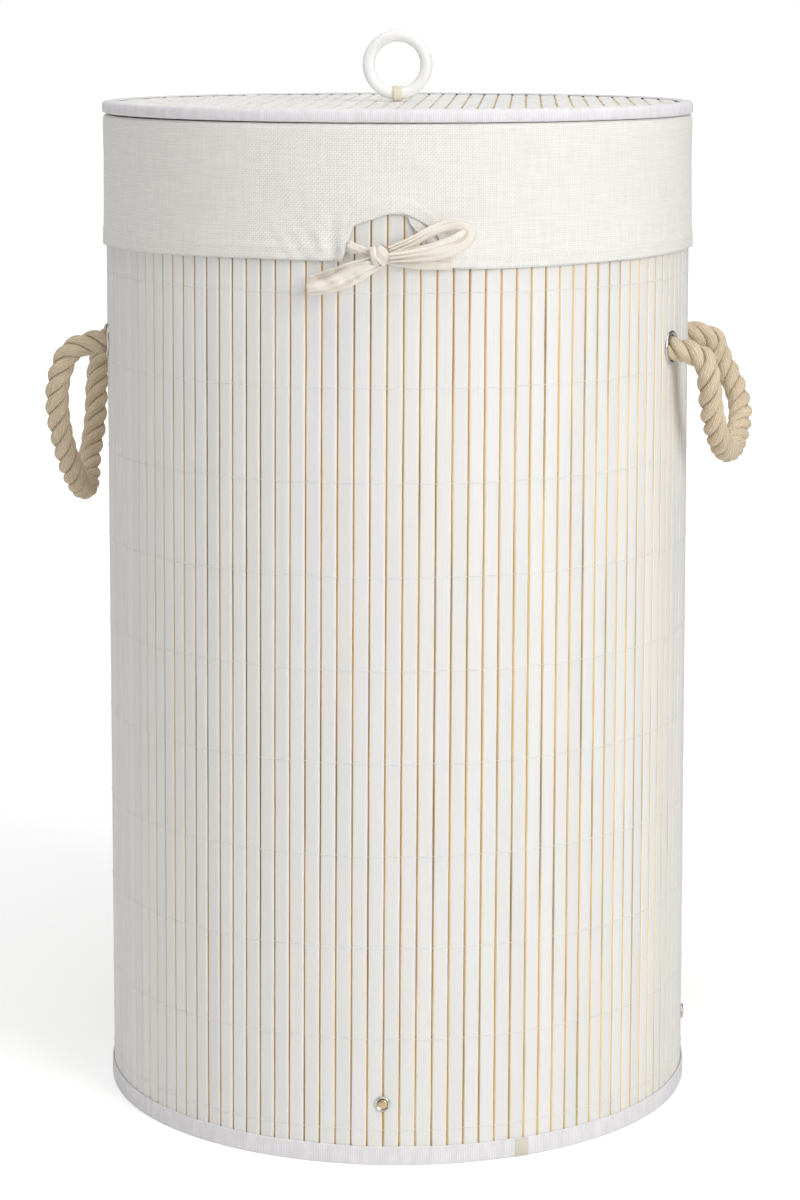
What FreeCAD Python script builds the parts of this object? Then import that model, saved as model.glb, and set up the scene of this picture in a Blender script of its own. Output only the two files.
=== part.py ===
"""Round laundry hamper: slatted bamboo wall, cotton liner with a folded cuff, rope handles, loose lid.

Millimetres, +Z up.  The origin is the centre of the foot of the wall, on the floor.  -Y is the front,
where the tie of the cuff and one base screw are, and the two rope handles are on -X and +X.
Azimuths are in degrees from the front (-Y) towards +X.
"""
import FreeCAD, Part
import math
import os

V = FreeCAD.Vector
ORIGIN = V(0, 0, 0)
UP = V(0, 0, 1)

# ---- driving dimensions -------------------------------------------------------------------------
WALL_R = 174.0              # outer face of the slats
RIM_Z = 584.0               # top of the bound rim
SLAT_COUNT = 120
SLAT_WIDTH = 8.0
SLAT_THICK = 1.6
SECTOR_COUNT = 12           # the slats are kept in this many groups
FIT = 0.3                   # clearance between separate pieces

BACKING_THICK = 0.6
TAPE_THICK = 0.6            # woven tape of the bindings
FOOT_TAPE_THICK = 1.1       # the foot tape is doubled
FOOT_TAPE_H = 11.0
RIM_TAPE_H = 15.0
HOOP_R = 1.3                # wire hoop in the rim

BASE_THICK = 12.0
BASE_MID_Z = 35.5           # height of the base screws
SCREW_COUNT = 4
SCREW_AZIMUTH = 5.2
SCREW_R = 1.5
SCREW_DEPTH = 24.0
CUP_R = 4.4

THREAD_R = 0.35             # sewing thread across the slats
THREAD_FIRST_Z = 20.0
THREAD_PITCH = 52.5
THREAD_ROWS = 11

ROPE_R = 7.25
EYELET_Z = 452.0
EYELET_SPREAD = 16.5        # each eyelet stands this far round from the handle's middle
EYELET_R = 10.0
EYELET_HOLE_R = 7.45
EYELET_BARREL_R = 8.0
HINGE_OUT = 20.0            # the handle turns about a point this far outside the wall
HINGE_CUT_R = 10.6          # the loop starts this far from its hinge point, clear of the fixed end
KNOT_INNER_R = 146.0        # the rope's knot reaches in to this radius

BAG_R = 145.5               # liner bag below the knots, outside
CLOTH = 0.8
CUFF_HEM_Z = 505.0
CUFF_FLARE = 1.3
TIE_AZIMUTH = 8.0           # the cuff's notch and bow
NOTCH_W = 53.0
NOTCH_H = 29.0

LID_R = 176.0
LID_BOTTOM_Z = 585.4
LID_TURN = 5.6              # the lid's slats run this far round from +Y
LID_PITCH = 9.0
RING_R = 17.25              # pull ring, centre of the tube
RING_TUBE_R = 3.75
STRAP_W = 5.3

# ---- worked-out levels --------------------------------------------------------------------------
SLAT_INNER_R = WALL_R - SLAT_THICK
SLAT_FOOT_Z = 1.3
SLAT_TOP_Z = RIM_Z - TAPE_THICK - 2 * HOOP_R - 0.4
BACKING_R = SLAT_INNER_R - 0.1
BACKING_INNER_R = BACKING_R - BACKING_THICK
TAPE_INNER_R = WALL_R + 0.15
FOOT_R = TAPE_INNER_R + FOOT_TAPE_THICK
INNER_TAPE_R = BACKING_INNER_R - 0.4
BASE_R = BACKING_INNER_R - 0.4
BASE_TOP_Z = BASE_MID_Z + BASE_THICK / 2
CUP_SEAT_R = WALL_R + 0.1
CUFF_R = TAPE_INNER_R + TAPE_THICK + 0.35
CUFF_TOP_Z = RIM_Z + FIT
LID_TAPE_R = LID_R - 1.0
LID_TAPE_REACH_R = 167.5
LID_CORE_Z = LID_BOTTOM_Z + 0.7
LID_CORE_THICK = 4.1
LID_SLAT_Z = LID_CORE_Z + LID_CORE_THICK + 0.1
LID_TOP_Z = LID_SLAT_Z + SLAT_THICK
STRAP_INNER_R = RING_TUBE_R + 0.4
STRAP_OUTER_R = STRAP_INNER_R + 0.6
RING_AXIS_Z = LID_TOP_Z + STRAP_OUTER_R + 0.05
HINGE_R = WALL_R + HINGE_OUT

EYELETS = {
    "left": (-90 + EYELET_SPREAD, -90 - EYELET_SPREAD),
    "right": (90 - EYELET_SPREAD, 90 + EYELET_SPREAD),
}
SCREWS = [SCREW_AZIMUTH + 360 / SCREW_COUNT * k for k in range(SCREW_COUNT)]

# The rope between its two hinge points, from the front eyelet to the rear one.  x is the distance
# out from the hamper's axis on that handle's side.
LEFT_ROUTE = [
    (196.0, -55.5, 431.0),
    (198.5, -50.0, 408.0),
    (196.0, -41.0, 384.0),
    (193.5, -27.5, 365.5),
    (192.5, -8.5, 354.5),
    (194.5, 13.0, 355.5),
    (198.0, 30.0, 370.5),
    (196.5, 41.5, 391.0),
    (198.0, 50.0, 412.5),
    (196.5, 56.0, 433.0),
]
RIGHT_ROUTE = [
    (191.0, -56.5, 431.0),
    (193.5, -49.0, 411.5),
    (197.5, -37.0, 394.0),
    (202.0, -20.0, 381.5),
    (205.0, 1.0, 377.0),
    (208.5, 21.5, 383.5),
    (210.5, 39.0, 398.0),
    (203.5, 50.5, 416.0),
    (192.5, 57.5, 433.0),
]

# The cuff's tie.  Each point is (distance round from the tie's middle, radius, height).
KNOT_AT = (-9.5, 183.2, 512.0)
TIE_LEFT = [(-25.5, 180.6, 515.0), (-20.0, 180.8, 513.2), (-15.0, 181.2, 512.6)]
TIE_RIGHT = [(-4.0, 180.6, 508.6), (6.0, 180.2, 507.2), (16.0, 180.1, 507.8), (25.0, 180.2, 507.2)]
TIE_LOOP = [
    (-3.6, 185.2, 514.6),
    (8.0, 185.8, 516.7),
    (22.0, 185.5, 522.0),
    (36.0, 185.2, 527.0),
    (44.0, 185.0, 523.5),
    (38.0, 185.2, 515.8),
    (24.0, 185.6, 512.0),
    (9.0, 185.9, 511.2),
    (-3.8, 185.4, 509.8),
]
TIE_TAIL = [(-13.5, 184.0, 507.0), (-24.0, 184.3, 500.5), (-35.0, 184.0, 495.5), (-45.5, 183.5, 491.0)]
TIE_RUN_R = 2.4
TIE_LOOP_R = 2.4
TIE_TAIL_R = 3.4


# ---- helpers ------------------------------------------------------------------------------------
def save(name, shapes):
    """Writes one node, a solid or a group of separate solids."""
    solids = [s for shape in shapes for s in shape.Solids]
    group = solids[0] if len(solids) == 1 else Part.makeCompound(solids)
    group.exportStep(f"parts/{name}.step")


def round_to(shape, azimuth):
    """Turns a shape that was made on +X to an azimuth."""
    copy = shape.copy()
    copy.rotate(ORIGIN, UP, azimuth - 90)
    return copy


def at_azimuth(radius, azimuth, z):
    angle = math.radians(azimuth)
    return V(radius * math.sin(angle), -radius * math.cos(angle), z)


def revolved(profile, axis_point=ORIGIN, axis=UP):
    """Full turn of a closed outline of points, or of edges."""
    if isinstance(profile[0], V):
        profile = [Part.makePolygon(profile + profile[:1])]
    return Part.Face(Part.Wire(profile)).revolve(axis_point, axis, 360)


def ring_of(points):
    """Full turn about Z of an outline of (radius, height) points."""
    return revolved([V(r, 0, z) for r, z in points])


def barrel(inner_r, outer_r, z0, z1):
    return ring_of([(inner_r, z0), (outer_r, z0), (outer_r, z1), (inner_r, z1)])


def disc(radius, z0, z1):
    return Part.makeCylinder(radius, z1 - z0, V(0, 0, z0))


def radial_drill(radius, start_r, length, z, azimuth):
    """A cylinder along a radius, from start_r outwards."""
    return round_to(Part.makeCylinder(radius, length, V(start_r, 0, z), V(1, 0, 0)), azimuth)


def radial_turned(points, z, azimuth):
    """Full turn about a radius of an outline of (distance out, radius from that line) points."""
    outline = [V(x, 0, z + r) for x, r in points]
    return round_to(revolved(outline, V(0, 0, z), V(1, 0, 0)), azimuth)


def angle_between(a, b):
    return abs((a - b + 180) % 360 - 180)


def routed_tube(points, radius, name):
    """A tube along straight runs joined by tangent arcs, each as large as its runs allow."""
    edges = []
    radii = []
    start = points[0]
    for before, here, after in zip(points, points[1:], points[2:]):
        way_in = (here - before).normalize()
        way_out = (after - here).normalize()
        half = way_in.getAngle(way_out) / 2
        reach = 0.45 * min((here - before).Length, (after - here).Length)
        bend = reach / math.tan(half)
        inward = (way_out - way_in).normalize()
        arc_start = here - way_in * reach
        arc_mid = here + inward * (bend / math.cos(half) - bend)
        arc_end = here + way_out * reach
        edges.append(Part.LineSegment(start, arc_start).toShape())
        edges.append(Part.Arc(arc_start, arc_mid, arc_end).toShape())
        radii.append(bend)
        start = arc_end
    edges.append(Part.LineSegment(start, points[-1]).toShape())
    path = Part.Wire(edges)
    length = path.Length
    circle = Part.Circle(points[0], points[1] - points[0], radius).toShape()
    tube = path.makePipeShell([Part.Wire([circle])], True, False)
    share = tube.Volume / (math.pi * radius * radius * path.Length)
    bends = " ".join(f"{bend:.0f}" for bend in radii)
    print(f"{name}: length {path.Length:.0f}, bends {bends}, volume share {share:.3f}")
    return tube


# ---- wall ---------------------------------------------------------------------------------------
def wall_holes():
    """Drills for the eyelets and the base screws, each with its azimuth and half angle."""
    holes = []
    for azimuth in EYELETS["left"] + EYELETS["right"]:
        drill = radial_drill(EYELET_BARREL_R + 0.2, BASE_R - 6, 16, EYELET_Z, azimuth)
        holes.append((azimuth, drill, 5.0))
    for azimuth in SCREWS:
        holes.append((azimuth, radial_drill(SCREW_R + 0.1, BASE_R, 8, BASE_MID_Z, azimuth), 3.0))
    return holes


def make_slats(holes):
    pitch = 360 / SLAT_COUNT
    height = SLAT_TOP_Z - SLAT_FOOT_Z
    blank = Part.makeBox(SLAT_THICK, SLAT_WIDTH, height, V(SLAT_INNER_R, -SLAT_WIDTH / 2, SLAT_FOOT_Z))
    per_sector = SLAT_COUNT // SECTOR_COUNT
    for sector in range(SECTOR_COUNT):
        slats = []
        for k in range(per_sector):
            azimuth = SCREW_AZIMUTH + pitch * (sector * per_sector + k + 0.5)
            slat = round_to(blank, azimuth)
            for hole_azimuth, drill, reach in holes:
                if angle_between(azimuth, hole_azimuth) < reach:
                    slat = slat.cut(drill)
            slats.append(slat)
        save(f"wall_slats_{sector + 1:02d}", slats)


def make_wall_cloth_and_tapes(holes):
    backing = barrel(BACKING_INNER_R, BACKING_R, SLAT_FOOT_Z, SLAT_TOP_Z)
    for _, drill, _ in holes:
        backing = backing.cut(drill)
    save("wall_backing", [backing])

    seam_r = BACKING_INNER_R - 0.1
    seam = Part.makeBox(8, 30, SLAT_TOP_Z - RIM_TAPE_H - BASE_TOP_Z - 4, V(BACKING_INNER_R - 6, -15, BASE_TOP_Z + 2))
    seam = round_to(seam, 180).common(barrel(seam_r - 0.7, seam_r, 0, RIM_Z))
    save("wall_seam_tape", [seam])

    leg_z = RIM_Z - RIM_TAPE_H
    save("rim_binding", [ring_of([
        (INNER_TAPE_R - TAPE_THICK, leg_z),
        (INNER_TAPE_R, leg_z),
        (INNER_TAPE_R, RIM_Z - TAPE_THICK),
        (TAPE_INNER_R, RIM_Z - TAPE_THICK),
        (TAPE_INNER_R, leg_z),
        (TAPE_INNER_R + TAPE_THICK, leg_z),
        (TAPE_INNER_R + TAPE_THICK, RIM_Z),
        (INNER_TAPE_R - TAPE_THICK, RIM_Z),
    ])])
    hoop_at = (SLAT_INNER_R + WALL_R) / 2 - 0.45
    save("rim_hoop", [Part.makeTorus(hoop_at, HOOP_R, V(0, 0, SLAT_TOP_Z + HOOP_R + 0.2))])
    save("foot_binding", [ring_of([
        (INNER_TAPE_R - TAPE_THICK, 0),
        (FOOT_R, 0),
        (FOOT_R, FOOT_TAPE_H),
        (TAPE_INNER_R, FOOT_TAPE_H),
        (TAPE_INNER_R, FOOT_TAPE_THICK),
        (INNER_TAPE_R, FOOT_TAPE_THICK),
        (INNER_TAPE_R, FOOT_TAPE_H),
        (INNER_TAPE_R - TAPE_THICK, FOOT_TAPE_H),
    ])])

    thread_ring_r = WALL_R + THREAD_R + 0.07
    rows = [THREAD_FIRST_Z + THREAD_PITCH * k for k in range(THREAD_ROWS)]
    save("wall_stitching", [Part.makeTorus(thread_ring_r, THREAD_R, V(0, 0, z)) for z in rows])


# ---- base ---------------------------------------------------------------------------------------
def make_base():
    board = disc(BASE_R, BASE_MID_Z - BASE_THICK / 2, BASE_TOP_Z)
    for azimuth in SCREWS:
        board = board.cut(radial_drill(SCREW_R, BASE_R - SCREW_DEPTH, SCREW_DEPTH + 5, BASE_MID_Z, azimuth))
    save("base_board", [board])

    cup = [
        (CUP_SEAT_R, SCREW_R + 0.1),
        (CUP_SEAT_R, CUP_R),
        (CUP_SEAT_R + 0.5, CUP_R),
        (CUP_SEAT_R + 1.4, CUP_R - 0.5),
        (CUP_SEAT_R + 0.5, SCREW_R + 0.1),
    ]
    save("base_screw_cups", [radial_turned(cup, BASE_MID_Z, a) for a in SCREWS])
    screw = [
        (BASE_R - SCREW_DEPTH, 0),
        (BASE_R - SCREW_DEPTH, SCREW_R),
        (CUP_SEAT_R + 0.55, SCREW_R),
        (CUP_SEAT_R + 1.15, CUP_R - 1.6),
        (CUP_SEAT_R + 1.4, CUP_R - 1.8),
        (CUP_SEAT_R + 1.6, 0),
    ]
    save("base_screws", [radial_turned(screw, BASE_MID_Z, a) for a in SCREWS])


# ---- rope handles -------------------------------------------------------------------------------
def make_eyelets(side):
    face = WALL_R + 0.1
    back = BACKING_INNER_R - 0.8
    eyelet = [
        (back - 1.0, EYELET_HOLE_R),
        (back - 1.0, EYELET_BARREL_R),
        (face, EYELET_BARREL_R),
        (face, EYELET_R),
        (face + 0.7, EYELET_R),
        (face + 1.3, EYELET_R - 0.9),
        (face + 1.3, EYELET_HOLE_R + 0.6),
        (face + 0.7, EYELET_HOLE_R),
    ]
    washer = [
        (back - 1.0, EYELET_BARREL_R + 0.05),
        (back - 1.0, EYELET_R + 0.5),
        (back, EYELET_R + 0.5),
        (back, EYELET_BARREL_R + 0.05),
    ]
    save(f"{side}_eyelets", [radial_turned(eyelet, EYELET_Z, a) for a in EYELETS[side]])
    save(f"{side}_eyelet_washers", [radial_turned(washer, EYELET_Z, a) for a in EYELETS[side]])


def rope_end(azimuth):
    """The knotted end inside the wall, and the rope through the eyelet up to its rounded hinge point."""
    washer_face = BACKING_INNER_R - 2.1
    knot_start = V(KNOT_INNER_R, 0, EYELET_Z)
    knot_wide = V((KNOT_INNER_R + washer_face) / 2 - 1, 0, EYELET_Z + 14.5)
    knot_end = V(washer_face, 0, EYELET_Z + ROPE_R)
    tip_start = V(HINGE_R, 0, EYELET_Z + ROPE_R)
    slope = ROPE_R * math.sqrt(0.5)
    tip_mid = V(HINGE_R + slope, 0, EYELET_Z + slope)
    tip_end = V(HINGE_R + ROPE_R, 0, EYELET_Z)
    outline = [
        Part.Arc(knot_start, knot_wide, knot_end).toShape(),
        Part.LineSegment(knot_end, tip_start).toShape(),
        Part.Arc(tip_start, tip_mid, tip_end).toShape(),
        Part.LineSegment(tip_end, knot_start).toShape(),
    ]
    return round_to(revolved(outline, knot_start, V(1, 0, 0)), azimuth)


def make_handle(side, sign, route):
    front, rear = EYELETS[side]
    start = at_azimuth(HINGE_R, front, EYELET_Z)
    end = at_azimuth(HINGE_R, rear, EYELET_Z)
    points = [start] + [V(sign * x, y, z) for x, y, z in route] + [end]
    rope = routed_tube(points, ROPE_R, f"{side}_handle_rope")
    for hinge in (start, end):
        rope = rope.cut(Part.makeSphere(HINGE_CUT_R, hinge))
    longest = max(rope.Solids, key=lambda s: s.Volume)
    save(f"{side}_handle_rope", [longest])
    save(f"{side}_rope_ends", [rope_end(front), rope_end(rear)])


# ---- liner --------------------------------------------------------------------------------------
def notch_prism(grow=0.0):
    """The arch cut out of the cuff, as a prism along the radius at the tie."""
    half = NOTCH_W / 2 + grow
    low = CUFF_HEM_Z - 5
    shoulder = CUFF_HEM_Z + NOTCH_H * 0.55
    top = CUFF_HEM_Z + NOTCH_H + grow
    start_r = WALL_R - 8
    left_low = V(start_r, -half, low)
    left_top = V(start_r, -half + 2, shoulder)
    apex = V(start_r, 0, top)
    right_top = V(start_r, half - 2, shoulder)
    right_low = V(start_r, half, low)
    edges = [
        Part.LineSegment(left_low, left_top).toShape(),
        Part.Arc(left_top, apex, right_top).toShape(),
        Part.LineSegment(right_top, right_low).toShape(),
        Part.LineSegment(right_low, left_low).toShape(),
    ]
    prism = Part.Face(Part.Wire(edges)).extrude(V(20, 0, 0))
    return round_to(prism, TIE_AZIMUTH)


def make_liner():
    """The bag hangs inside the wall, folds out over the rim and ends in the cuff."""
    floor_z = BASE_TOP_Z + FIT
    knot_top_z = EYELET_Z + 18
    funnel_z = RIM_Z - 24
    neck_r = INNER_TAPE_R - TAPE_THICK - 0.4
    side = ring_of([
        (BAG_R - CLOTH, floor_z + 1),
        (BAG_R, floor_z + 1),
        (BAG_R, knot_top_z),
        (neck_r, funnel_z),
        (neck_r, CUFF_TOP_Z),
        (CUFF_R, CUFF_TOP_Z),
        (CUFF_R, funnel_z),
        (CUFF_R + CUFF_FLARE, CUFF_HEM_Z),
        (CUFF_R + CUFF_FLARE + CLOTH, CUFF_HEM_Z),
        (CUFF_R + CLOTH, funnel_z),
        (CUFF_R + CLOTH, CUFF_TOP_Z + CLOTH),
        (neck_r - CLOTH, CUFF_TOP_Z + CLOTH),
        (neck_r - CLOTH, funnel_z),
        (BAG_R - CLOTH, knot_top_z),
    ])
    notch = notch_prism()
    save("liner_side", [side.cut(notch)])
    save("liner_base", [disc(BAG_R, floor_z, floor_z + 1)])

    hem_r = CUFF_R + CUFF_FLARE - 0.25
    hem = barrel(hem_r - 0.6, hem_r - 0.05, CUFF_HEM_Z, CUFF_HEM_Z + 8)
    save("cuff_hem", [hem.cut(notch_prism(grow=9.5))])
    facing = barrel(CUFF_R - 0.1, CUFF_R + 0.25, CUFF_HEM_Z, CUFF_HEM_Z + NOTCH_H + 8)
    save("notch_facing", [facing.common(notch_prism(grow=8)).cut(notch)])


def make_tie():
    """Cotton tape from both corners of the notch, tied in a bow with one loop and one tail."""
    def place(point):
        round_by, radius, z = point
        return at_azimuth(radius, TIE_AZIMUTH + math.degrees(round_by / radius), z)

    save("tie_left_run", [routed_tube([place(p) for p in TIE_LEFT], TIE_RUN_R, "tie_left_run")])
    save("tie_right_run", [routed_tube([place(p) for p in TIE_RIGHT], TIE_RUN_R, "tie_right_run")])
    save("tie_loop", [routed_tube([place(p) for p in TIE_LOOP], TIE_LOOP_R, "tie_loop")])
    save("tie_tail", [routed_tube([place(p) for p in TIE_TAIL], TIE_TAIL_R, "tie_tail")])
    knot = Part.makeSphere(1.0)
    stretch = FreeCAD.Matrix()
    stretch.scale(V(5.2, 5.2, 6.0))
    knot = knot.transformGeometry(stretch)
    knot.translate(place(KNOT_AT))
    for name in ("tie_left_run", "tie_right_run", "tie_loop", "tie_tail"):
        knot = knot.cut(Part.read(f"parts/{name}.step"))
    save("tie_knot", [max(knot.Solids, key=lambda s: s.Volume)])


# ---- lid ----------------------------------------------------------------------------------------
def turned_with_lid(shape):
    copy = shape.copy()
    copy.rotate(ORIGIN, UP, LID_TURN)
    return copy


def strap_slot(grow=0.1):
    width = STRAP_W + 2 * grow
    thick = 1.4 + 2 * grow
    return Part.makeBox(width, thick, 30, V(-width / 2, -thick / 2, LID_BOTTOM_Z - 20))


def make_lid():
    slot = strap_slot()
    round_blank = disc(LID_TAPE_R - 0.3, LID_SLAT_Z, LID_TOP_Z)
    count = 2 * int(LID_TAPE_R / LID_PITCH) + 1
    slats = []
    for k in range(count):
        middle = (k - count // 2) * LID_PITCH
        strip = Part.makeBox(SLAT_WIDTH, 2 * LID_R, SLAT_THICK, V(middle - SLAT_WIDTH / 2, -LID_R, LID_SLAT_Z))
        slats.append(turned_with_lid(strip.common(round_blank).cut(slot)))
    save("lid_slats", slats)

    core = disc(LID_TAPE_R - 0.3, LID_CORE_Z, LID_CORE_Z + LID_CORE_THICK).cut(slot)
    save("lid_core", [turned_with_lid(core)])
    lining = disc(LID_TAPE_REACH_R - 0.2, LID_BOTTOM_Z + 0.1, LID_CORE_Z - 0.1).cut(slot)
    save("lid_lining", [turned_with_lid(lining)])
    save("lid_binding", [ring_of([
        (LID_TAPE_REACH_R, LID_BOTTOM_Z),
        (LID_R - 1.2, LID_BOTTOM_Z),
        (LID_R, LID_BOTTOM_Z + 1.2),
        (LID_R, LID_TOP_Z - 0.4),
        (LID_R - 1.2, LID_TOP_Z + 0.8),
        (LID_TAPE_REACH_R, LID_TOP_Z + 0.8),
        (LID_TAPE_REACH_R, LID_TOP_Z + 0.1),
        (LID_TAPE_R, LID_TOP_Z + 0.1),
        (LID_TAPE_R, LID_CORE_Z - 0.1),
        (LID_TAPE_REACH_R, LID_CORE_Z - 0.1),
    ])])

    threads = []
    reach = LID_TAPE_REACH_R - 0.3
    for k in (-3, -2, -1, 1, 2, 3):
        across = k * THREAD_PITCH - THREAD_PITCH / 2 * (1 if k > 0 else -1)
        half = math.sqrt(reach * reach - across * across)
        thread = Part.makeCylinder(0.25, 2 * half, V(-half, across, LID_TOP_Z + 0.27), V(1, 0, 0))
        threads.append(turned_with_lid(thread))
    save("lid_stitching", threads)

    loop = Part.makeCylinder(STRAP_OUTER_R, STRAP_W, V(-STRAP_W / 2, 0, RING_AXIS_Z), V(1, 0, 0))
    neck_z = LID_BOTTOM_Z - 3.2
    neck_top = RING_AXIS_Z - STRAP_INNER_R - 0.2
    neck = Part.makeBox(STRAP_W, 1.4, neck_top - neck_z, V(-STRAP_W / 2, -0.7, neck_z))
    eye = Part.makeCylinder(STRAP_INNER_R, STRAP_W + 2, V(-STRAP_W / 2 - 1, 0, RING_AXIS_Z), V(1, 0, 0))
    save("ring_strap", [turned_with_lid(loop.fuse(neck).cut(eye))])
    button = disc(8, LID_BOTTOM_Z - 2.6, LID_BOTTOM_Z - 0.1).cut(slot)
    save("strap_button", [turned_with_lid(button)])

    ring = Part.makeTorus(RING_R, RING_TUBE_R, V(0, 0, RING_AXIS_Z + RING_R), V(0, 1, 0))
    save("pull_ring", [turned_with_lid(ring)])


def main():
    os.makedirs("parts", exist_ok=True)
    holes = wall_holes()
    make_slats(holes)
    make_wall_cloth_and_tapes(holes)
    make_base()
    for side, sign, route in (("left", -1, LEFT_ROUTE), ("right", 1, RIGHT_ROUTE)):
        make_eyelets(side)
        make_handle(side, sign, route)
    make_liner()
    make_tie()
    make_lid()


main()
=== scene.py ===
"""Round slatted laundry hamper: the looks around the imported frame.

Metres, +Z up.  -Y is the front, where the cuff is tied, and the rope handles are on -X and +X.
Azimuths are in degrees from the front towards +X.
"""
import math
import random

import bmesh
import bpy
from bpy.props import FloatProperty, FloatVectorProperty, IntProperty, PointerProperty
from mathutils import Matrix, Vector, noise


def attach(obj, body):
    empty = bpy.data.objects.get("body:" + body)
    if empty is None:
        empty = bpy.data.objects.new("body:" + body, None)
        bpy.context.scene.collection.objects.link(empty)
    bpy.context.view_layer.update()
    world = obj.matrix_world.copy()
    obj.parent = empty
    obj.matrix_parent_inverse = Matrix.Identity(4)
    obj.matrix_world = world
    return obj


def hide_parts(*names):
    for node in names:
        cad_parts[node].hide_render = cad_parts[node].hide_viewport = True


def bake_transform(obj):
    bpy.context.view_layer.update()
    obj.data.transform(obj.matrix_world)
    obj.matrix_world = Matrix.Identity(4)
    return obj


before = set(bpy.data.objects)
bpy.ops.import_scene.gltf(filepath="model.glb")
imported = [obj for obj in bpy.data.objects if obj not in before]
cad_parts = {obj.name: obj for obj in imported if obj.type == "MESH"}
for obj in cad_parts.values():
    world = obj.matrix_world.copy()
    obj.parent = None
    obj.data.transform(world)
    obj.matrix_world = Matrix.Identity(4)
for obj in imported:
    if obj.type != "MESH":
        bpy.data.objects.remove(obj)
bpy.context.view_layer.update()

bl_info = {
    "name": "Laundry Hamper",
    "version": (1, 0, 0),
    "blender": (4, 5, 0),
    "location": "View3D > Sidebar > Hamper",
    "description": "Builds the looks of a slatted laundry hamper around its packed frame",
    "category": "Object",
}

SLAT_COUNT = 120
SLAT_PITCH = 360 / SLAT_COUNT
SECTORS = 12
FIRST_SLAT_AZIMUTH = 5.2
SLAT_FOOT_Z = 0.0014
SLAT_TOP_Z = 0.5803
SLAT_LEAN = 1.9  # degrees round per metre of height
SCREW_AZIMUTHS = (5.2, 95.2, 185.2, 275.2)
SCREW_Z = 0.0355
TIE_AZIMUTH = 8.0
LID_TURN = 5.6
EYELET_Z = 0.452
EYELET_AZIMUTHS = {"left": (-73.5, -106.5), "right": (73.5, 106.5)}
HINGE_R = 0.194
SIDE_SIGN = {"left": -1, "right": 1}
STRAND_SHARE = 0.515  # one strand's radius in the rope's
STRAND_SIDES = 12
KNOT_R = 0.160
CUFF_R = 0.176
RIM_Z = 0.580
THREAD_R = 0.00022
THREAD_ROWS = 11
FIRST_THREAD_Z = 0.020
THREAD_ROW_PITCH = 0.0525
RING_Z = 0.5967  # where the ring's tube hangs in its strap
LID_PITCH = 0.009

# The rope from its front hinge point to its rear one, on that handle's own side.
ROPE_ROUTES = {
    "left": (
        (0.1960, -0.0555, 0.4310), (0.1985, -0.0500, 0.4080), (0.1960, -0.0410, 0.3840),
        (0.1935, -0.0275, 0.3655), (0.1925, -0.0085, 0.3545), (0.1945, 0.0130, 0.3555),
        (0.1980, 0.0300, 0.3705), (0.1965, 0.0415, 0.3910), (0.1980, 0.0500, 0.4125),
        (0.1965, 0.0560, 0.4330),
    ),
    "right": (
        (0.1895, -0.0570, 0.4335), (0.1905, -0.0510, 0.4165), (0.1935, -0.0405, 0.4005),
        (0.1970, -0.0230, 0.3890), (0.2005, -0.0010, 0.3858), (0.2035, 0.0205, 0.3918),
        (0.2055, 0.0400, 0.4050), (0.2000, 0.0525, 0.4205), (0.1910, 0.0592, 0.4355),
    ),
}

# The cuff's tie.  Each point is (distance round from the tie's middle, radius, height).
BOW_KNOT = (-0.0080, 0.1832, 0.5142)
BOW_LEFT_RUN = ((-0.0275, 0.1785, 0.5190), (-0.0185, 0.1808, 0.5154), (-0.0095, 0.1822, 0.5144))
BOW_RIGHT_RUN = (
    (-0.0045, 0.1820, 0.5114), (0.0075, 0.1806, 0.5098), (0.0175, 0.1802, 0.5098),
    (0.0300, 0.1785, 0.5090),
)
BOW_LOOP = (
    (-0.0045, 0.1842, 0.5165), (0.0080, 0.1842, 0.5216), (0.0205, 0.1840, 0.5288),
    (0.0320, 0.1838, 0.5314), (0.0392, 0.1852, 0.5278), (0.0345, 0.1874, 0.5218),
    (0.0225, 0.1880, 0.5172), (0.0090, 0.1876, 0.5148), (-0.0045, 0.1862, 0.5134),
)
BOW_TAIL = (
    (-0.0085, 0.1850, 0.5112), (-0.0175, 0.1852, 0.5074), (-0.0285, 0.1850, 0.5024),
    (-0.0385, 0.1846, 0.4990), (-0.0480, 0.1842, 0.4970),
)

# The cuff's lower edge: (distance round from the tie's middle, height).
HEM_LINE = (
    (-0.540, 0.5080), (-0.231, 0.5090), (-0.147, 0.5096), (-0.087, 0.5104), (-0.031, 0.5100),
    (-0.0285, 0.5150), (-0.0268, 0.5210), (-0.0250, 0.5280), (-0.0222, 0.5304), (-0.0135, 0.5330),
    (-0.0068, 0.5356), (0.0022, 0.5364), (0.0090, 0.5340), (0.0160, 0.5298), (0.0213, 0.5250),
    (0.0253, 0.5156), (0.0280, 0.5065), (0.0510, 0.5054), (0.1010, 0.5062), (0.1680, 0.5068),
    (0.2210, 0.5076), (0.540, 0.5080),
)


# ---- places -------------------------------------------------------------------------------------
def around(azimuth, radius, z):
    """The point at an azimuth in degrees, a radius and a height."""
    angle = math.radians(azimuth)
    return Vector((radius * math.sin(angle), -radius * math.cos(angle), z))


def by_the_tie(round_by, radius, z, measured_at=0.180):
    """The point a distance round from the tie's middle, measured at a radius."""
    return around(TIE_AZIMUTH + math.degrees(round_by / measured_at), radius, z)


def smoothstep(low, high, value):
    t = min(1.0, max(0.0, (value - low) / (high - low)))
    return t * t * (3 - 2 * t)


def between(line, x):
    """The height of a line of (x, y) points at x."""
    for (x0, y0), (x1, y1) in zip(line, line[1:]):
        if x <= x1:
            return y0 + (y1 - y0) * max(0.0, x - x0) / (x1 - x0)
    return line[-1][1]


def turned_out(azimuth, z):
    """Puts a shape made about +Z onto the radius at that azimuth."""
    turn = Matrix.Rotation(math.radians(azimuth - 90), 4, "Z")
    return Matrix.Translation((0, 0, z)) @ turn @ Matrix.Rotation(math.radians(90), 4, "Y")


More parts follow.
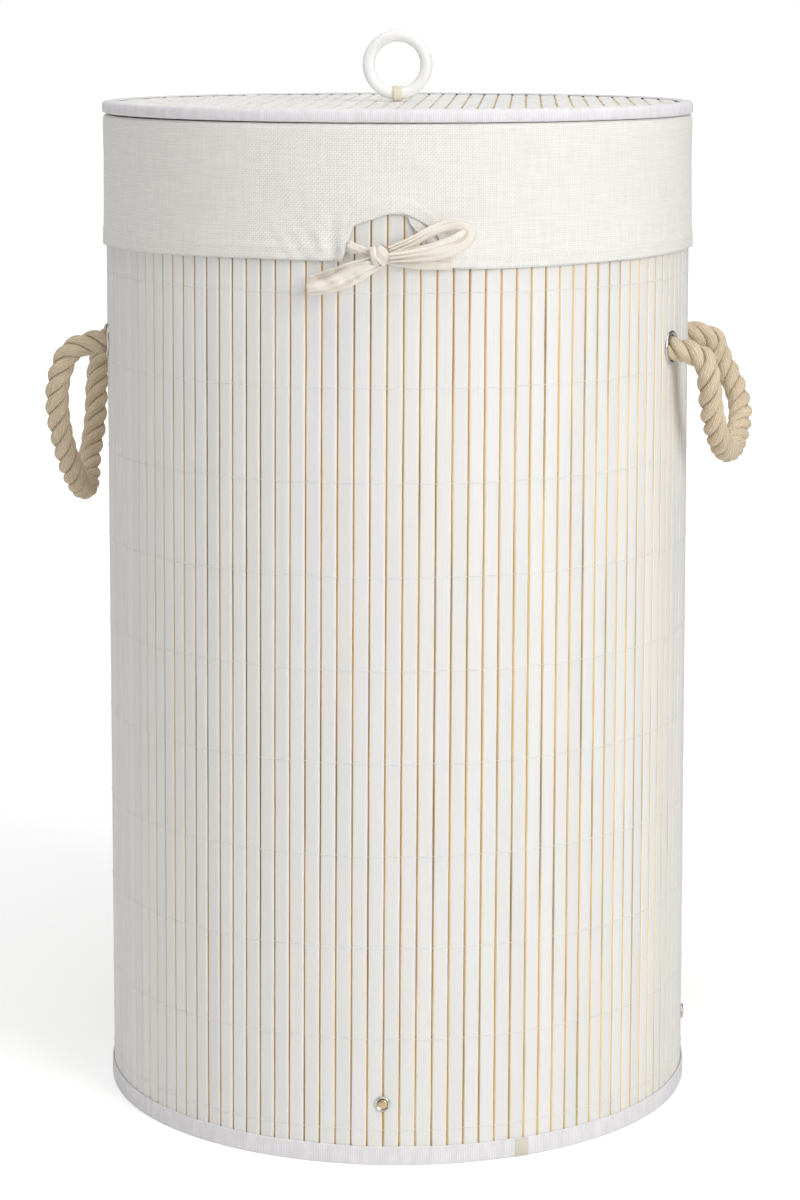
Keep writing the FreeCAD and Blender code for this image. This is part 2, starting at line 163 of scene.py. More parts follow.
def smooth_line(route, resolution=16):
    """The points of the smooth NURBS line that a route of control points gives."""
    curve = bpy.data.curves.new("route", "CURVE")
    curve.dimensions = "3D"
    spline = curve.splines.new("NURBS")
    spline.points.add(len(route) - 1)
    for point, place in zip(spline.points, route):
        point.co = (*place, 1.0)
    spline.order_u = 3
    spline.use_endpoint_u = True
    spline.resolution_u = resolution
    holder = bpy.data.objects.new("route", curve)
    mesh = bpy.data.meshes.new_from_object(holder)
    points = [vertex.co.copy() for vertex in mesh.vertices]
    bpy.data.meshes.remove(mesh)
    bpy.data.objects.remove(holder)
    bpy.data.curves.remove(curve)
    return points


def frames_along(points, closed=False):
    """(distance along, tangent, side, other side) at each point, without twist."""
    last = len(points) - 1
    found = []
    side = None
    along = 0.0
    for i, here in enumerate(points):
        before = points[i - 1] if i or closed else here
        after = points[(i + 1) % len(points)] if i < last or closed else here
        tangent = (after - before).normalized()
        if side is None:
            side = tangent.orthogonal()
        side = (side - tangent * side.dot(tangent)).normalized()
        if i:
            along += (here - points[i - 1]).length
        found.append((along, tangent, side, tangent.cross(side)))
    return found


# ---- pieces -------------------------------------------------------------------------------------
def finish_piece(bm, name, body, materials, replaced=(), slot="", sharp=40.0, outward=True):
    """Makes the mesh a piece that rides on a body and stands for the CAD nodes named."""
    if outward:
        bmesh.ops.recalc_face_normals(bm, faces=bm.faces)
    mesh = bpy.data.meshes.new(name)
    bm.to_mesh(mesh)
    bm.free()
    for material in materials:
        mesh.materials.append(material)
    mesh.shade_smooth()
    if sharp:
        mesh.set_sharp_from_angle(angle=math.radians(sharp))
    piece = bpy.data.objects.new(name, mesh)
    bpy.context.scene.collection.objects.link(piece)
    if body:
        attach(piece, body)
    if replaced:
        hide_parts(*replaced)
    return piece


def keep_node(node, material):
    """A CAD node that stays as it is, with its finish."""
    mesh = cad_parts[node].data
    mesh.materials.clear()
    mesh.materials.append(material)


def spin_outline(bm, outline, steps, bevel=0.0, segments=3, matrix=None):
    """Spins a closed outline of (radius, height) points round Z and rounds its corners."""
    before = set(bm.verts)
    verts = [bm.verts.new((r, 0, z)) for r, z in outline]
    edges = [bm.edges.new(pair) for pair in zip(verts, verts[1:] + verts[:1])]
    bmesh.ops.spin(
        bm, geom=verts + edges, cent=(0, 0, 0), axis=(0, 0, 1), angle=math.tau, steps=steps,
        use_merge=True,
    )
    made = [v for v in bm.verts if v not in before]
    bmesh.ops.remove_doubles(bm, verts=made, dist=1e-6)
    made = [v for v in bm.verts if v not in before]
    new = set(made)
    if bevel:
        rings = [
            e for e in bm.edges
            if e.verts[0] in new
            and abs(e.verts[0].co.z - e.verts[1].co.z) < 1e-7
            and abs(e.verts[0].co.xy.length - e.verts[1].co.xy.length) < 1e-7
            and len(e.link_faces) == 2
            and e.calc_face_angle() > math.radians(12)
        ]
        bmesh.ops.bevel(
            bm, geom=rings, offset=bevel, segments=segments, affect="EDGES",
            profile=0.5, material=-1, clamp_overlap=True,
        )
        made = [v for v in bm.verts if v not in before]
    if matrix:
        bmesh.ops.transform(bm, matrix=matrix, verts=made)
    return made


def laid_grid(bm, across, along, place, size=(1.0, 1.0)):
    """Lays a grid by place(u, v), both from 0 to 1, with a UV map of the cloth's own size."""
    cloth = bm.loops.layers.uv.get("cloth") or bm.loops.layers.uv.new("cloth")
    before = set(bm.verts)
    bmesh.ops.create_grid(bm, x_segments=across, y_segments=along, size=0.5, calc_uvs=True)
    made = [v for v in bm.verts if v not in before]
    spots = {v: (min(1.0, max(0.0, v.co.x + 0.5)), min(1.0, max(0.0, v.co.y + 0.5))) for v in made}
    for face in {f for v in made for f in v.link_faces}:
        for loop in face.loops:
            u, v = spots[loop.vert]
            loop[cloth].uv = (u * size[0], v * size[1])
    for vert in made:
        vert.co = place(*spots[vert])
    return made


def lay_strand(bm, centres, radii, normals, length):
    """A round strand through centres, with its own seam closed."""
    count = len(centres) - 1

    def place(u, v):
        i = min(count, round(v * count))
        angle = math.tau * u
        normal = normals[i]
        ahead = centres[min(count, i + 1)] - centres[max(0, i - 1)]
        other = ahead.cross(normal).normalized()
        out = other.cross(ahead).normalized()
        return centres[i] + (out * math.cos(angle) + other * math.sin(angle)) * radii[i]

    made = laid_grid(bm, STRAND_SIDES, count, place, size=(math.tau * radii[0], length))
    bmesh.ops.remove_doubles(bm, verts=made, dist=1e-6)


def lay_rope(bm, points, radius, lay_length, seed, closed=False):
    """Three strands laid right-handed round a line."""
    rng = random.Random(seed)
    strand = radius * STRAND_SHARE
    offset = radius - strand
    frames = frames_along(points, closed)
    length = frames[-1][0]
    turns = length / lay_length
    if closed:
        turns = round(turns * 3) / 3
    for k in range(3):
        centres, radii, normals = [], [], []
        shift = rng.random() * 40
        for point, (along, _, side, other) in zip(points, frames):
            angle = math.tau * (turns * along / length + k / 3)
            out = side * math.cos(angle) + other * math.sin(angle)
            swell = 1 + 0.035 * noise.noise(Vector((along * 90, shift, 0)))
            centres.append(point + out * offset * swell)
            radii.append(strand * swell)
            normals.append(out)
        if closed:
            centres.append(centres[0])
            radii.append(radii[0])
            normals.append(normals[0])
        lay_strand(bm, centres, radii, normals, length)


def lay_tape(bm, points, width, facing, fold, across=12):
    """A tape along a line: width(t) across, facing(point) its broad side, fold(t, c) its crumple."""
    frames = frames_along(points)
    length = frames[-1][0]
    count = len(points) - 1

    def place(u, v):
        i = min(count, round(v * count))
        t = frames[i][0] / length
        tangent = frames[i][1]
        out = facing(points[i])
        wide = tangent.cross(out).normalized()
        out = wide.cross(tangent).normalized()
        c = 2 * u - 1
        squeeze, lift = fold(t, c)
        return points[i] + wide * (squeeze * width(t) / 2) + out * lift

    laid_grid(bm, across, count, place, size=(width(0.5), length))


def add_thickness(piece, thickness):
    """Thickens cloth evenly to both sides."""
    modifier = piece.modifiers.new("thickness", "SOLIDIFY")
    modifier.thickness = thickness
    modifier.offset = 0.0
    modifier.use_even_offset = False


def add_smoothing(piece):
    modifier = piece.modifiers.new("smoothing", "SUBSURF")
    modifier.levels = 1
    modifier.render_levels = 1


# ---- node trees ---------------------------------------------------------------------------------
class Tree:
    """Short words for building one node tree."""

    def __init__(self, tree):
        self.tree = tree

    def add(self, kind, inputs=(), **settings):
        made = self.tree.nodes.new(kind)
        for name, value in settings.items():
            setattr(made, name, value)
        for key, value in dict(inputs).items():
            self.put(value, made.inputs[key])
        return made

    def put(self, value, socket):
        if isinstance(value, bpy.types.NodeSocket):
            self.tree.links.new(value, socket)
        else:
            socket.default_value = value

    def math(self, operation, *values):
        return self.add("ShaderNodeMath", enumerate(values), operation=operation).outputs[0]

    def scaled(self, vector, scale):
        made = self.add("ShaderNodeVectorMath", {0: vector, 1: scale}, operation="MULTIPLY")
        return made.outputs[0]

    def noise(self, vector, scale=1.0, detail=2.0, roughness=0.5):
        made = self.add(
            "ShaderNodeTexNoise",
            {"Vector": vector, "Scale": scale, "Detail": detail, "Roughness": roughness},
        )
        return made.outputs[0]

    def ramp(self, factor, low, high):
        made = self.add("ShaderNodeMapRange", {"Value": factor, "From Min": low, "From Max": high})
        return made.outputs[0]

    def blend(self, factor, first, second):
        made = self.add("ShaderNodeMix", {0: factor, 6: first, 7: second}, data_type="RGBA")
        return made.outputs[2]

    def tinted(self, base, mask, low, high, amount, colour):
        """The base colour with another one laid over it where the mask runs from low to high."""
        return self.blend(self.math("MULTIPLY", self.ramp(mask, low, high), amount), base, colour)

    def parts(self, vector):
        return self.add("ShaderNodeSeparateXYZ", {0: vector}).outputs

    def attribute(self, name):
        return self.add("ShaderNodeAttribute", attribute_name=name).outputs["Fac"]

    def camera_rays(self):
        return self.add("ShaderNodeLightPath").outputs["Is Camera Ray"]

    def object_coords(self):
        return self.add("ShaderNodeTexCoord").outputs["Object"]

    def cloth_coords(self):
        return self.add("ShaderNodeUVMap", uv_map="cloth").outputs[0]


def rgb(colour, shade=1.0):
    return (colour[0] * shade, colour[1] * shade, colour[2] * shade, 1.0)


def fill_weave(tree, given, out):
    """Plain weave: Height of the threads, and Slub, the thick and thin places along them."""
    parts = tree.parts(given["Vector"])
    waves = []
    for axis in (0, 1):
        turns = tree.math("DIVIDE", parts[axis], given["Pitch"])
        waves.append(tree.math("SINE", tree.math("MULTIPLY", turns, math.pi)))
    over = tree.math("GREATER_THAN", tree.math("MULTIPLY", waves[0], waves[1]), 0.0)
    warp = tree.math("MULTIPLY", tree.math("ABSOLUTE", waves[0]), over)
    weft = tree.math("MULTIPLY", tree.math("ABSOLUTE", waves[1]), tree.math("SUBTRACT", 1.0, over))
    tree.put(tree.math("ADD", warp, weft), out["Height"])
    across = tree.noise(tree.scaled(given["Vector"], (900, 45, 1)), 1.0, 3.0, 0.6)
    along = tree.noise(tree.scaled(given["Vector"], (45, 900, 1)), 1.0, 3.0, 0.6)
    tree.put(tree.math("MULTIPLY", tree.math("ADD", across, along), 0.5), out["Slub"])


def fill_ribs(tree, given, out):
    """Ribbed tape wound round Z: Height of the ribs, and Slub, the uneven tone of the yarn."""
    parts = tree.parts(given["Vector"])
    angle = tree.math("ARCTAN2", parts[1], parts[0])
    wave = tree.math("SINE", tree.math("MULTIPLY", angle, given["Count"]))
    fine = tree.math("SINE", tree.math("MULTIPLY", parts[2], 9000.0))
    tree.put(tree.math("ADD", wave, tree.math("MULTIPLY", fine, 0.25)), out["Height"])
    tree.put(tree.noise(tree.scaled(given["Vector"], (260, 260, 60)), 1.0, 3.0, 0.6), out["Slub"])


def fill_grain(tree, given, out):
    """Wood grain drawn out along the vector's last axis: Streak and Fleck."""
    vector = {0: given["Vector"], "Scale": given["Fineness"]}
    scaled = tree.add("ShaderNodeVectorMath", vector, operation="SCALE").outputs[0]
    tree.put(tree.noise(tree.scaled(scaled, (1500, 1500, 14)), 1.0, 3.0, 0.62), out["Streak"])
    tree.put(tree.noise(tree.scaled(scaled, (420, 420, 130)), 1.0, 2.0, 0.5), out["Fleck"])


def fill_mottle(tree, given, out):
    """Soft cloudy wear at two sizes: Cloud and Speck."""
    tree.put(tree.noise(given["Vector"], given["Size"], 3.0, 0.55), out["Cloud"])
    fine = tree.math("MULTIPLY", given["Size"], 22.0)
    tree.put(tree.noise(given["Vector"], fine, 2.0, 0.6), out["Speck"])


# Each group's name, with what fills it, its own number and that number's default, and its outputs.
GROUPS = {
    "plain_weave": (fill_weave, "Pitch", 0.0008, ("Height", "Slub")),
    "tape_ribs": (fill_ribs, "Count", 1500.0, ("Height", "Slub")),
    "drawn_grain": (fill_grain, "Fineness", 1.0, ("Streak", "Fleck")),
    "soft_mottle": (fill_mottle, "Size", 60.0, ("Cloud", "Speck")),
}


def shared_group(name):
    """The node group of that name, made on first use."""
    if name in bpy.data.node_groups:
        return bpy.data.node_groups[name]
    fill, number, default, outputs = GROUPS[name]
    made = bpy.data.node_groups.new(name, "ShaderNodeTree")
    made.interface.new_socket(name="Vector", in_out="INPUT", socket_type="NodeSocketVector")
    socket = made.interface.new_socket(name=number, in_out="INPUT", socket_type="NodeSocketFloat")
    socket.default_value = default
    for label in outputs:
        made.interface.new_socket(name=label, in_out="OUTPUT", socket_type="NodeSocketFloat")
    tree = Tree(made)
    fill(tree, tree.add("NodeGroupInput").outputs, tree.add("NodeGroupOutput").inputs)
    return made


def new_material(name):
    """The tree and the shader of a new material."""
    made = bpy.data.materials.new("finish_" + name)
    made.use_nodes = True
    return Tree(made.node_tree), made.node_tree.nodes["Principled BSDF"]


def use_group(tree, name, **inputs):
    return tree.add("ShaderNodeGroup", inputs, node_tree=shared_group(name)).outputs


def set_shader(tree, shader, values, height, distance, strength):
    """Sets or links the shader's sockets, and its bump."""
    for key, value in values.items():
        tree.put(value, shader.inputs[key])
    bump = tree.add("ShaderNodeBump", {"Strength": strength, "Distance": distance, "Height": height})
    tree.put(bump.outputs[0], shader.inputs["Normal"])


def painted_slats(name, vector_turn, colours):
    """White paint over bamboo, a little different from slat to slat."""
    tree, shader = new_material(name)
    turned = {"Vector": tree.object_coords(), "Rotation": vector_turn}
    vector = tree.add("ShaderNodeMapping", turned).outputs[0]
    grain = use_group(tree, "drawn_grain", Vector=vector, Fineness=1.0)
    paint = tree.blend(tree.attribute("tone"), rgb(colours.paint, 0.93), rgb(colours.paint))
    paint = tree.tinted(paint, grain["Streak"], 0.44, 0.72, 0.30, rgb(colours.paint, 0.82))
    paint = tree.tinted(paint, grain["Fleck"], 0.62, 0.86, 0.22, rgb(colours.linen, 0.80))
    gloss = tree.math("ADD", 0.42, tree.math("MULTIPLY", grain["Streak"], 0.22))
    set_shader(tree, shader, {"Base Color": paint, "Roughness": gloss}, grain["Streak"], 0.00018, 0.35)


def raw_bamboo(name, colours):
    """Unpainted slat edge, from light straw to burnt brown."""
    tree, shader = new_material(name)
    vector = tree.object_coords()
    grain = use_group(tree, "drawn_grain", Vector=vector, Fineness=0.7)
    patch = tree.noise(tree.scaled(vector, (70, 70, 7)), 1.0, 2.0, 0.55)
    straw = tree.blend(tree.ramp(patch, 0.48, 0.66), rgb(colours.bamboo), rgb(colours.bamboo, 0.6))
    straw = tree.tinted(straw, grain["Streak"], 0.45, 0.75, 0.5, rgb(colours.bamboo, 0.5))
    set_shader(tree, shader, {"Base Color": straw, "Roughness": 0.72}, grain["Streak"], 0.0002, 0.5)


def woven_cloth(name, colour, pitch, contrast, depth=0.00012, uv=True, hem=False, crease_shade=0.0):
    """Plain woven cloth with slubs, painted shade between its threads, a stitched hem, and crease lines
    with painted shade in them if wanted.
    """
    tree, shader = new_material(name)
    vector = tree.cloth_coords() if uv else tree.object_coords()
    weave = use_group(tree, "plain_weave", Vector=vector, Pitch=pitch)
    mottle = use_group(tree, "soft_mottle", Vector=vector, Size=35.0)
    tint = tree.blend(tree.ramp(weave["Slub"], 0.38, 0.62), rgb(colour, 1 - 0.24 * contrast), rgb(colour))
    # Painted shade between the threads: darker where the weave lies low.
    tint = tree.tinted(tint, weave["Height"], 0.8, 0.1, 0.85 * contrast, rgb(colour, 0.5))
    tint = tree.tinted(tint, mottle["Cloud"], 0.45, 0.7, 0.12, rgb(colour, 0.85))
    height = weave["Height"]
    if crease_shade:
        crease = tree.ramp(tree.noise(tree.scaled(vector, (420, 26, 1)), 1.0, 2.0, 0.5), 0.50, 0.68)
        # Painted crease shade: a warm brown laid along the crease lines.
        tint = tree.blend(tree.math("MULTIPLY", crease, crease_shade), tint, (0.50, 0.37, 0.24, 1))
        height = tree.math("SUBTRACT", height, tree.math("MULTIPLY", crease, 3.0))
    if hem:
        off = tree.math("ABSOLUTE", tree.math("SUBTRACT", tree.attribute("above_hem"), 0.0058))
        line = tree.math("LESS_THAN", off, 0.00045)
        wave = tree.math("SINE", tree.math("MULTIPLY", tree.parts(vector)[0], math.tau / 0.0032))
        stitch = tree.math("MULTIPLY", line, tree.math("GREATER_THAN", wave, -0.2))
        tint = tree.blend(tree.math("MULTIPLY", line, 0.16), tint, rgb(colour, 0.6))
        tint = tree.blend(tree.math("MULTIPLY", stitch, 0.4), tint, rgb(colour, 1.02))
        sunk = tree.math("SUBTRACT", stitch, tree.math("MULTIPLY", line, 0.7))
        height = tree.math("ADD", height, sunk)
    values = {
        "Base Color": tint, "Roughness": 0.92, "Sheen Weight": 0.15, "Sheen Roughness": 0.5,
        "Specular IOR Level": 0.2,
    }
    set_shader(tree, shader, values, height, depth, 0.8)


def ribbed_tape(name, colour, count, contrast=0.35):
    """Woven binding tape with ribs across it, and painted shade in the grooves between the ribs."""
    tree, shader = new_material(name)
    ribs = use_group(tree, "tape_ribs", Vector=tree.object_coords(), Count=count)
    tint = tree.blend(tree.ramp(ribs["Slub"], 0.35, 0.65), rgb(colour, 1 - 0.2 * contrast), rgb(colour))
    # Painted shade in the grooves between the ribs: darker where the ribs lie low.
    tint = tree.tinted(tint, ribs["Height"], 0.2, -1.0, contrast, rgb(colour, 0.72))
    values = {"Base Color": tint, "Roughness": 0.85, "Sheen Weight": 0.1, "Specular IOR Level": 0.25}
    set_shader(tree, shader, values, ribs["Height"], 0.00012, 0.6)


def spun_thread(name, colour):
    """Twisted thread or cord, with its yarn showing."""
    tree, shader = new_material(name)
    mottle = use_group(tree, "soft_mottle", Vector=tree.object_coords(), Size=140.0)
    tint = tree.blend(tree.ramp(mottle["Cloud"], 0.35, 0.65), rgb(colour, 0.86), rgb(colour))
    set_shader(tree, shader, {"Base Color": tint, "Roughness": 0.8}, mottle["Speck"], 0.0001, 0.5)


def laid_cotton(name, colour, strand):
    """Rope strand: fine yarns slanting round it, fuzzy, with painted shade between the yarns and in the
    grooves between strands.
    """
    tree, shader = new_material(name)
    vector = tree.cloth_coords()
    parts = tree.parts(vector)
    # How far the strand's surface turns out from its middle line, used for the painted shade in the
    # grooves.
    facing = tree.math("COSINE", tree.math("DIVIDE", parts[0], strand))
    slant = tree.math("ADD", parts[0], tree.math("MULTIPLY", parts[1], 0.45))
    wobble = tree.noise(tree.scaled(vector, (300, 120, 1)), 1.0, 2.0, 0.5)
    slant = tree.math("ADD", slant, tree.math("MULTIPLY", wobble, 0.0016))
    yarn = tree.math("SINE", tree.math("MULTIPLY", slant, math.tau / 0.00125))
    fibre = tree.noise(tree.scaled(vector, (2600, 500, 1)), 1.0, 3.0, 0.7)
    mottle = use_group(tree, "soft_mottle", Vector=tree.object_coords(), Size=45.0)
    tint = tree.blend(tree.ramp(mottle["Cloud"], 0.35, 0.68), rgb(colour), rgb(colour, 0.84))
    # Painted shade in the thin grooves between the yarns.
    tint = tree.tinted(tint, yarn, 0.3, -0.9, 0.7, rgb(colour, 0.52))
    tint = tree.tinted(tint, fibre, 0.4, 0.75, 0.35, rgb(colour, 1.12))
    # Painted shade in the grooves between strands: darker where the strand turns away.
    tint = tree.tinted(tint, facing, 0.42, -0.05, 0.85, rgb(colour, 0.3))
    values = {"Base Color": tint, "Roughness": 0.95, "Sheen Weight": 0.25, "Specular IOR Level": 0.15}
    set_shader(tree, shader, values, tree.math("ADD", yarn, fibre), 0.00022, 0.75)


def bright_metal(name, colour, roughness):
    """Plated metal with fine handling marks."""
    tree, shader = new_material(name)
    mottle = use_group(tree, "soft_mottle", Vector=tree.object_coords(), Size=180.0)
    tint = tree.blend(tree.ramp(mottle["Cloud"], 0.4, 0.7), rgb(colour), rgb(colour, 0.8))
    gloss = tree.math("ADD", roughness - 0.06, tree.math("MULTIPLY", mottle["Cloud"], 0.12))
    values = {"Base Color": tint, "Roughness": gloss, "Metallic": 1.0}
    set_shader(tree, shader, values, mottle["Speck"], 0.00003, 0.3)


def pressed_board(name, colour):
    """Fibreboard with its flecks."""
    tree, shader = new_material(name)
    mottle = use_group(tree, "soft_mottle", Vector=tree.object_coords(), Size=90.0)
    tint = tree.blend(tree.ramp(mottle["Speck"], 0.42, 0.62), rgb(colour, 0.82), rgb(colour))
    tint = tree.tinted(tint, mottle["Cloud"], 0.4, 0.65, 0.3, rgb(colour, 0.78))
    set_shader(tree, shader, {"Base Color": tint, "Roughness": 0.8}, mottle["Speck"], 0.0001, 0.4)


def smooth_paint(name, colour):
    """Even gloss paint with a slightly uneven coat."""
    tree, shader = new_material(name)
    mottle = use_group(tree, "soft_mottle", Vector=tree.object_coords(), Size=70.0)
    tint = tree.blend(tree.ramp(mottle["Cloud"], 0.3, 0.7), rgb(colour), rgb(colour, 0.95))
    gloss = tree.math("ADD", 0.28, tree.math("MULTIPLY", mottle["Cloud"], 0.12))
    set_shader(tree, shader, {"Base Color": tint, "Roughness": gloss}, mottle["Cloud"], 0.0003, 0.25)


def finishes():
    """Every material of the hamper by name, made on first use."""
    if "finish_raw_bamboo" not in bpy.data.materials:
        colours = bpy.context.scene.hamper_colours
        turn = math.radians(90)
        painted_slats("painted_wall_slats", (0, 0, 0), colours)
        painted_slats("painted_lid_slats", (turn, 0, math.radians(-LID_TURN)), colours)
        raw_bamboo("raw_bamboo", colours)
        woven_cloth("backing_cloth", colours.backing, 0.0012, 0.6, uv=False)
        ribbed_tape("binding_tape", colours.tape, 1080, 0.55)
        ribbed_tape("join_tape", colours.join, 1080)
        spun_thread("sewing_thread", colours.thread)
        bright_metal("hoop_wire", (0.55, 0.53, 0.50), 0.42)
        pressed_board("base_board_finish", colours.board)
        bright_metal("screw_brass", colours.brass, 0.30)
        bright_metal("eyelet_nickel", colours.nickel, 0.24)
        strand = bpy.context.scene.hamper_sizes.rope_radius * STRAND_SHARE
        laid_cotton("cotton_rope", colours.rope, strand)
        woven_cloth("liner_linen", colours.linen, 0.00125, 0.42, depth=0.0002, hem=True)
        woven_cloth("facing_linen", colours.linen, 0.00125, 0.3, depth=0.0002)
        woven_cloth("tie_cotton", colours.tie, 0.0006, 0.35, depth=0.00007, crease_shade=0.5)
        woven_cloth("lid_lining_cloth", colours.linen, 0.0009, 0.5, uv=False)
        woven_cloth("strap_cotton", colours.strap, 0.0006, 0.5)
        smooth_paint("ring_paint", colours.ring)
        smooth_paint("button_finish", colours.strap)
    return {
        made.name[len("finish_"):]: made
        for made in bpy.data.materials if made.name.startswith("finish_")
    }


# ---- sizes and colours --------------------------------------------------------------------------
def length_prop(name, description, default):
    return FloatProperty(
        name=name, description=description, default=default, min=0.0, subtype="DISTANCE",
        unit="LENGTH", precision=5,
    )


def colour_prop(name, description, default):
    return FloatVectorProperty(
        name=name, description=description, default=default, size=3, min=0.0, max=1.0,
        subtype="COLOR",
    )


class HamperSizes(bpy.types.PropertyGroup):
    """Sizes that a maker may change."""

    wall_radius: length_prop("Wall radius", "Outer face of the slats", 0.174)
    slat_width: length_prop("Slat width", "Painted face of one slat", 0.0078)
    slat_thickness: length_prop("Slat thickness", "Depth of one slat", 0.0016)
    slat_wander: length_prop("Slat wander", "How far a slat's edges stray from straight", 0.00014)
    rope_radius: length_prop("Rope radius", "Half the thickness of the rope handles", 0.00725)
    rope_lay: length_prop("Rope lay", "Length of one full turn of the strands", 0.0315)
    liner_cloth: length_prop("Liner thickness", "Thickness of the liner's linen", 0.0007)
    ring_radius: length_prop("Ring radius", "Middle of the pull ring's tube", 0.01725)
    ring_tube: length_prop("Ring tube", "Radius of the pull ring's tube", 0.00375)
    pleats: IntProperty(
        name="Liner pleats", description="Soft folds round the liner bag", default=22, min=0,
        max=60,
    )


class HamperColours(bpy.types.PropertyGroup):
    """Colours that a maker may change."""

    paint: colour_prop("Slat paint", "White paint on the slats", (0.86, 0.85, 0.82))
    bamboo: colour_prop("Raw bamboo", "Unpainted edges of the slats", (1.0, 0.73, 0.33))
    backing: colour_prop("Backing cloth", "Cloth behind the slats, seen in the gaps", (1.0, 0.68, 0.30))
    tape: colour_prop("Binding tape", "Tape at the foot and round the lid", (0.92, 0.90, 0.92))
    join: colour_prop("Tape join", "Overlapped end of the foot tape", (0.78, 0.72, 0.60))
    thread: colour_prop("Thread", "Sewing thread across the slats", (0.86, 0.85, 0.81))
    linen: colour_prop("Linen", "Liner and its cuff", (0.98, 0.955, 0.91))
    tie: colour_prop("Tie", "Cotton tape of the bow", (0.95, 0.89, 0.795))
    rope: colour_prop("Rope", "Cotton rope handles", (0.87, 0.71, 0.505))
    strap: colour_prop("Strap", "Cotton strap of the pull ring", (0.99, 0.90, 0.74))
    ring: colour_prop("Ring", "Paint of the pull ring", (0.95, 0.95, 0.94))
    board: colour_prop("Board", "Base board and lid board", (0.62, 0.47, 0.31))
    nickel: colour_prop("Nickel", "Eyelets and screw cups", (0.72, 0.70, 0.66))
    brass: colour_prop("Brass", "Base screws", (0.78, 0.62, 0.38))


# ---- stage --------------------------------------------------------------------------------------
EYE_DISTANCE = 1.8842
EYE_HEIGHT = 0.6475
EYE_PITCH = 6.4  # degrees below level


def aim(thing, place, target):
    thing.location = place
    thing.rotation_euler = (Vector(target) - Vector(place)).to_track_quat("-Z", "Y").to_euler()
    bpy.context.scene.collection.objects.link(thing)


def soft_light(name, azimuth, distance, height, width, tall, power):
    lamp = bpy.data.lights.new(name, "AREA")
    lamp.shape = "RECTANGLE"
    lamp.size = width
    lamp.size_y = tall
    lamp.energy = power
    aim(bpy.data.objects.new(name, lamp), around(azimuth, distance, height), (0, 0, 0.3))


class HAMPER_OT_stage(bpy.types.Operator):
    """Pale floor, soft light and the camera"""

    bl_idname = "hamper.stage"
    bl_label = "Stage"

    def execute(self, context):
        scene = context.scene
        bm = bmesh.new()
        bmesh.ops.create_circle(bm, cap_ends=True, segments=96, radius=90.0)
        tree, shader = new_material("pale_floor")
        mottle = use_group(tree, "soft_mottle", Vector=tree.object_coords(), Size=2.0)
        pale = tree.blend(mottle["Cloud"], (0.90, 0.90, 0.90, 1), (0.88, 0.88, 0.88, 1))
        tree.put(pale, shader.inputs["Base Color"])
        shader.inputs["Roughness"].default_value = 0.9
        shader.inputs["Specular IOR Level"].default_value = 0.1
        from_middle = {0: tree.object_coords()}
        away = tree.add("ShaderNodeVectorMath", from_middle, operation="LENGTH").outputs["Value"]
        glow = tree.math("ADD", 0.36, tree.math("MULTIPLY", 0.64, tree.ramp(away, 0.5, 4.0)))
        glow = tree.math("MULTIPLY", glow, tree.camera_rays())
        tree.put(tree.blend(glow, (0, 0, 0, 1), (1, 1, 1, 1)), shader.inputs["Emission Color"])
        shader.inputs["Emission Strength"].default_value = 1.0
        piece = finish_piece(bm, "studio_floor", "", [bpy.data.materials["finish_pale_floor"]], sharp=0)

        world = bpy.data.worlds.new("studio")
        world.use_nodes = True
        tree = Tree(world.node_tree)
        back = world.node_tree.nodes["Background"]
        seen = tree.camera_rays()
        tree.put(tree.blend(seen, (0.19, 0.19, 0.19, 1), (1.0, 1.0, 1.0, 1)), back.inputs["Color"])
        back.inputs["Strength"].default_value = 1.0
        scene.world = world
        scene.view_settings.view_transform = "Standard"

        soft_light("key_softbox", TIE_AZIMUTH + 38, 2.5, 1.35, 1.1, 1.7, 37)
        soft_light("front_fill", TIE_AZIMUTH - 8, 3.2, 1.2, 2.4, 2.0, 5)
        soft_light("left_fill", TIE_AZIMUTH - 80, 3.0, 1.0, 2.2, 2.0, 17)
        soft_light("back_fill", 200, 3.0, 1.5, 2.4, 1.6, 16)
        soft_light("top_fill", TIE_AZIMUTH + 10, 0.6, 3.0, 2.2, 2.2, 40)

        eye = bpy.data.cameras.new("camera")
        eye.lens = 94.38
        eye.sensor_width = 36.0
        eye.shift_x = 0.0020
        eye.shift_y = -0.1994
        eye.clip_end = 300.0
        holder = bpy.data.objects.new("camera", eye)
        place = around(TIE_AZIMUTH, EYE_DISTANCE, EYE_HEIGHT)
        drop = math.tan(math.radians(EYE_PITCH)) * EYE_DISTANCE
        aim(holder, place, (0, 0, EYE_HEIGHT - drop))
        scene.camera = holder
        return {"FINISHED"}


# ---- rope handles -------------------------------------------------------------------------------
def knot_line(azimuth):
    """A tight overhand knot inside the wall, as a closed line."""
    turn = turned_out(azimuth, EYELET_Z)
    points = []
    for i in range(72):
        t = math.tau * i / 72
        points.append(turn @ Vector((
            0.00285 * (math.sin(t) + 2 * math.sin(2 * t)),
            0.00285 * (math.cos(t) - 2 * math.cos(2 * t)),
            0.1578 - 0.0054 * math.sin(3 * t),
        )))
    return points


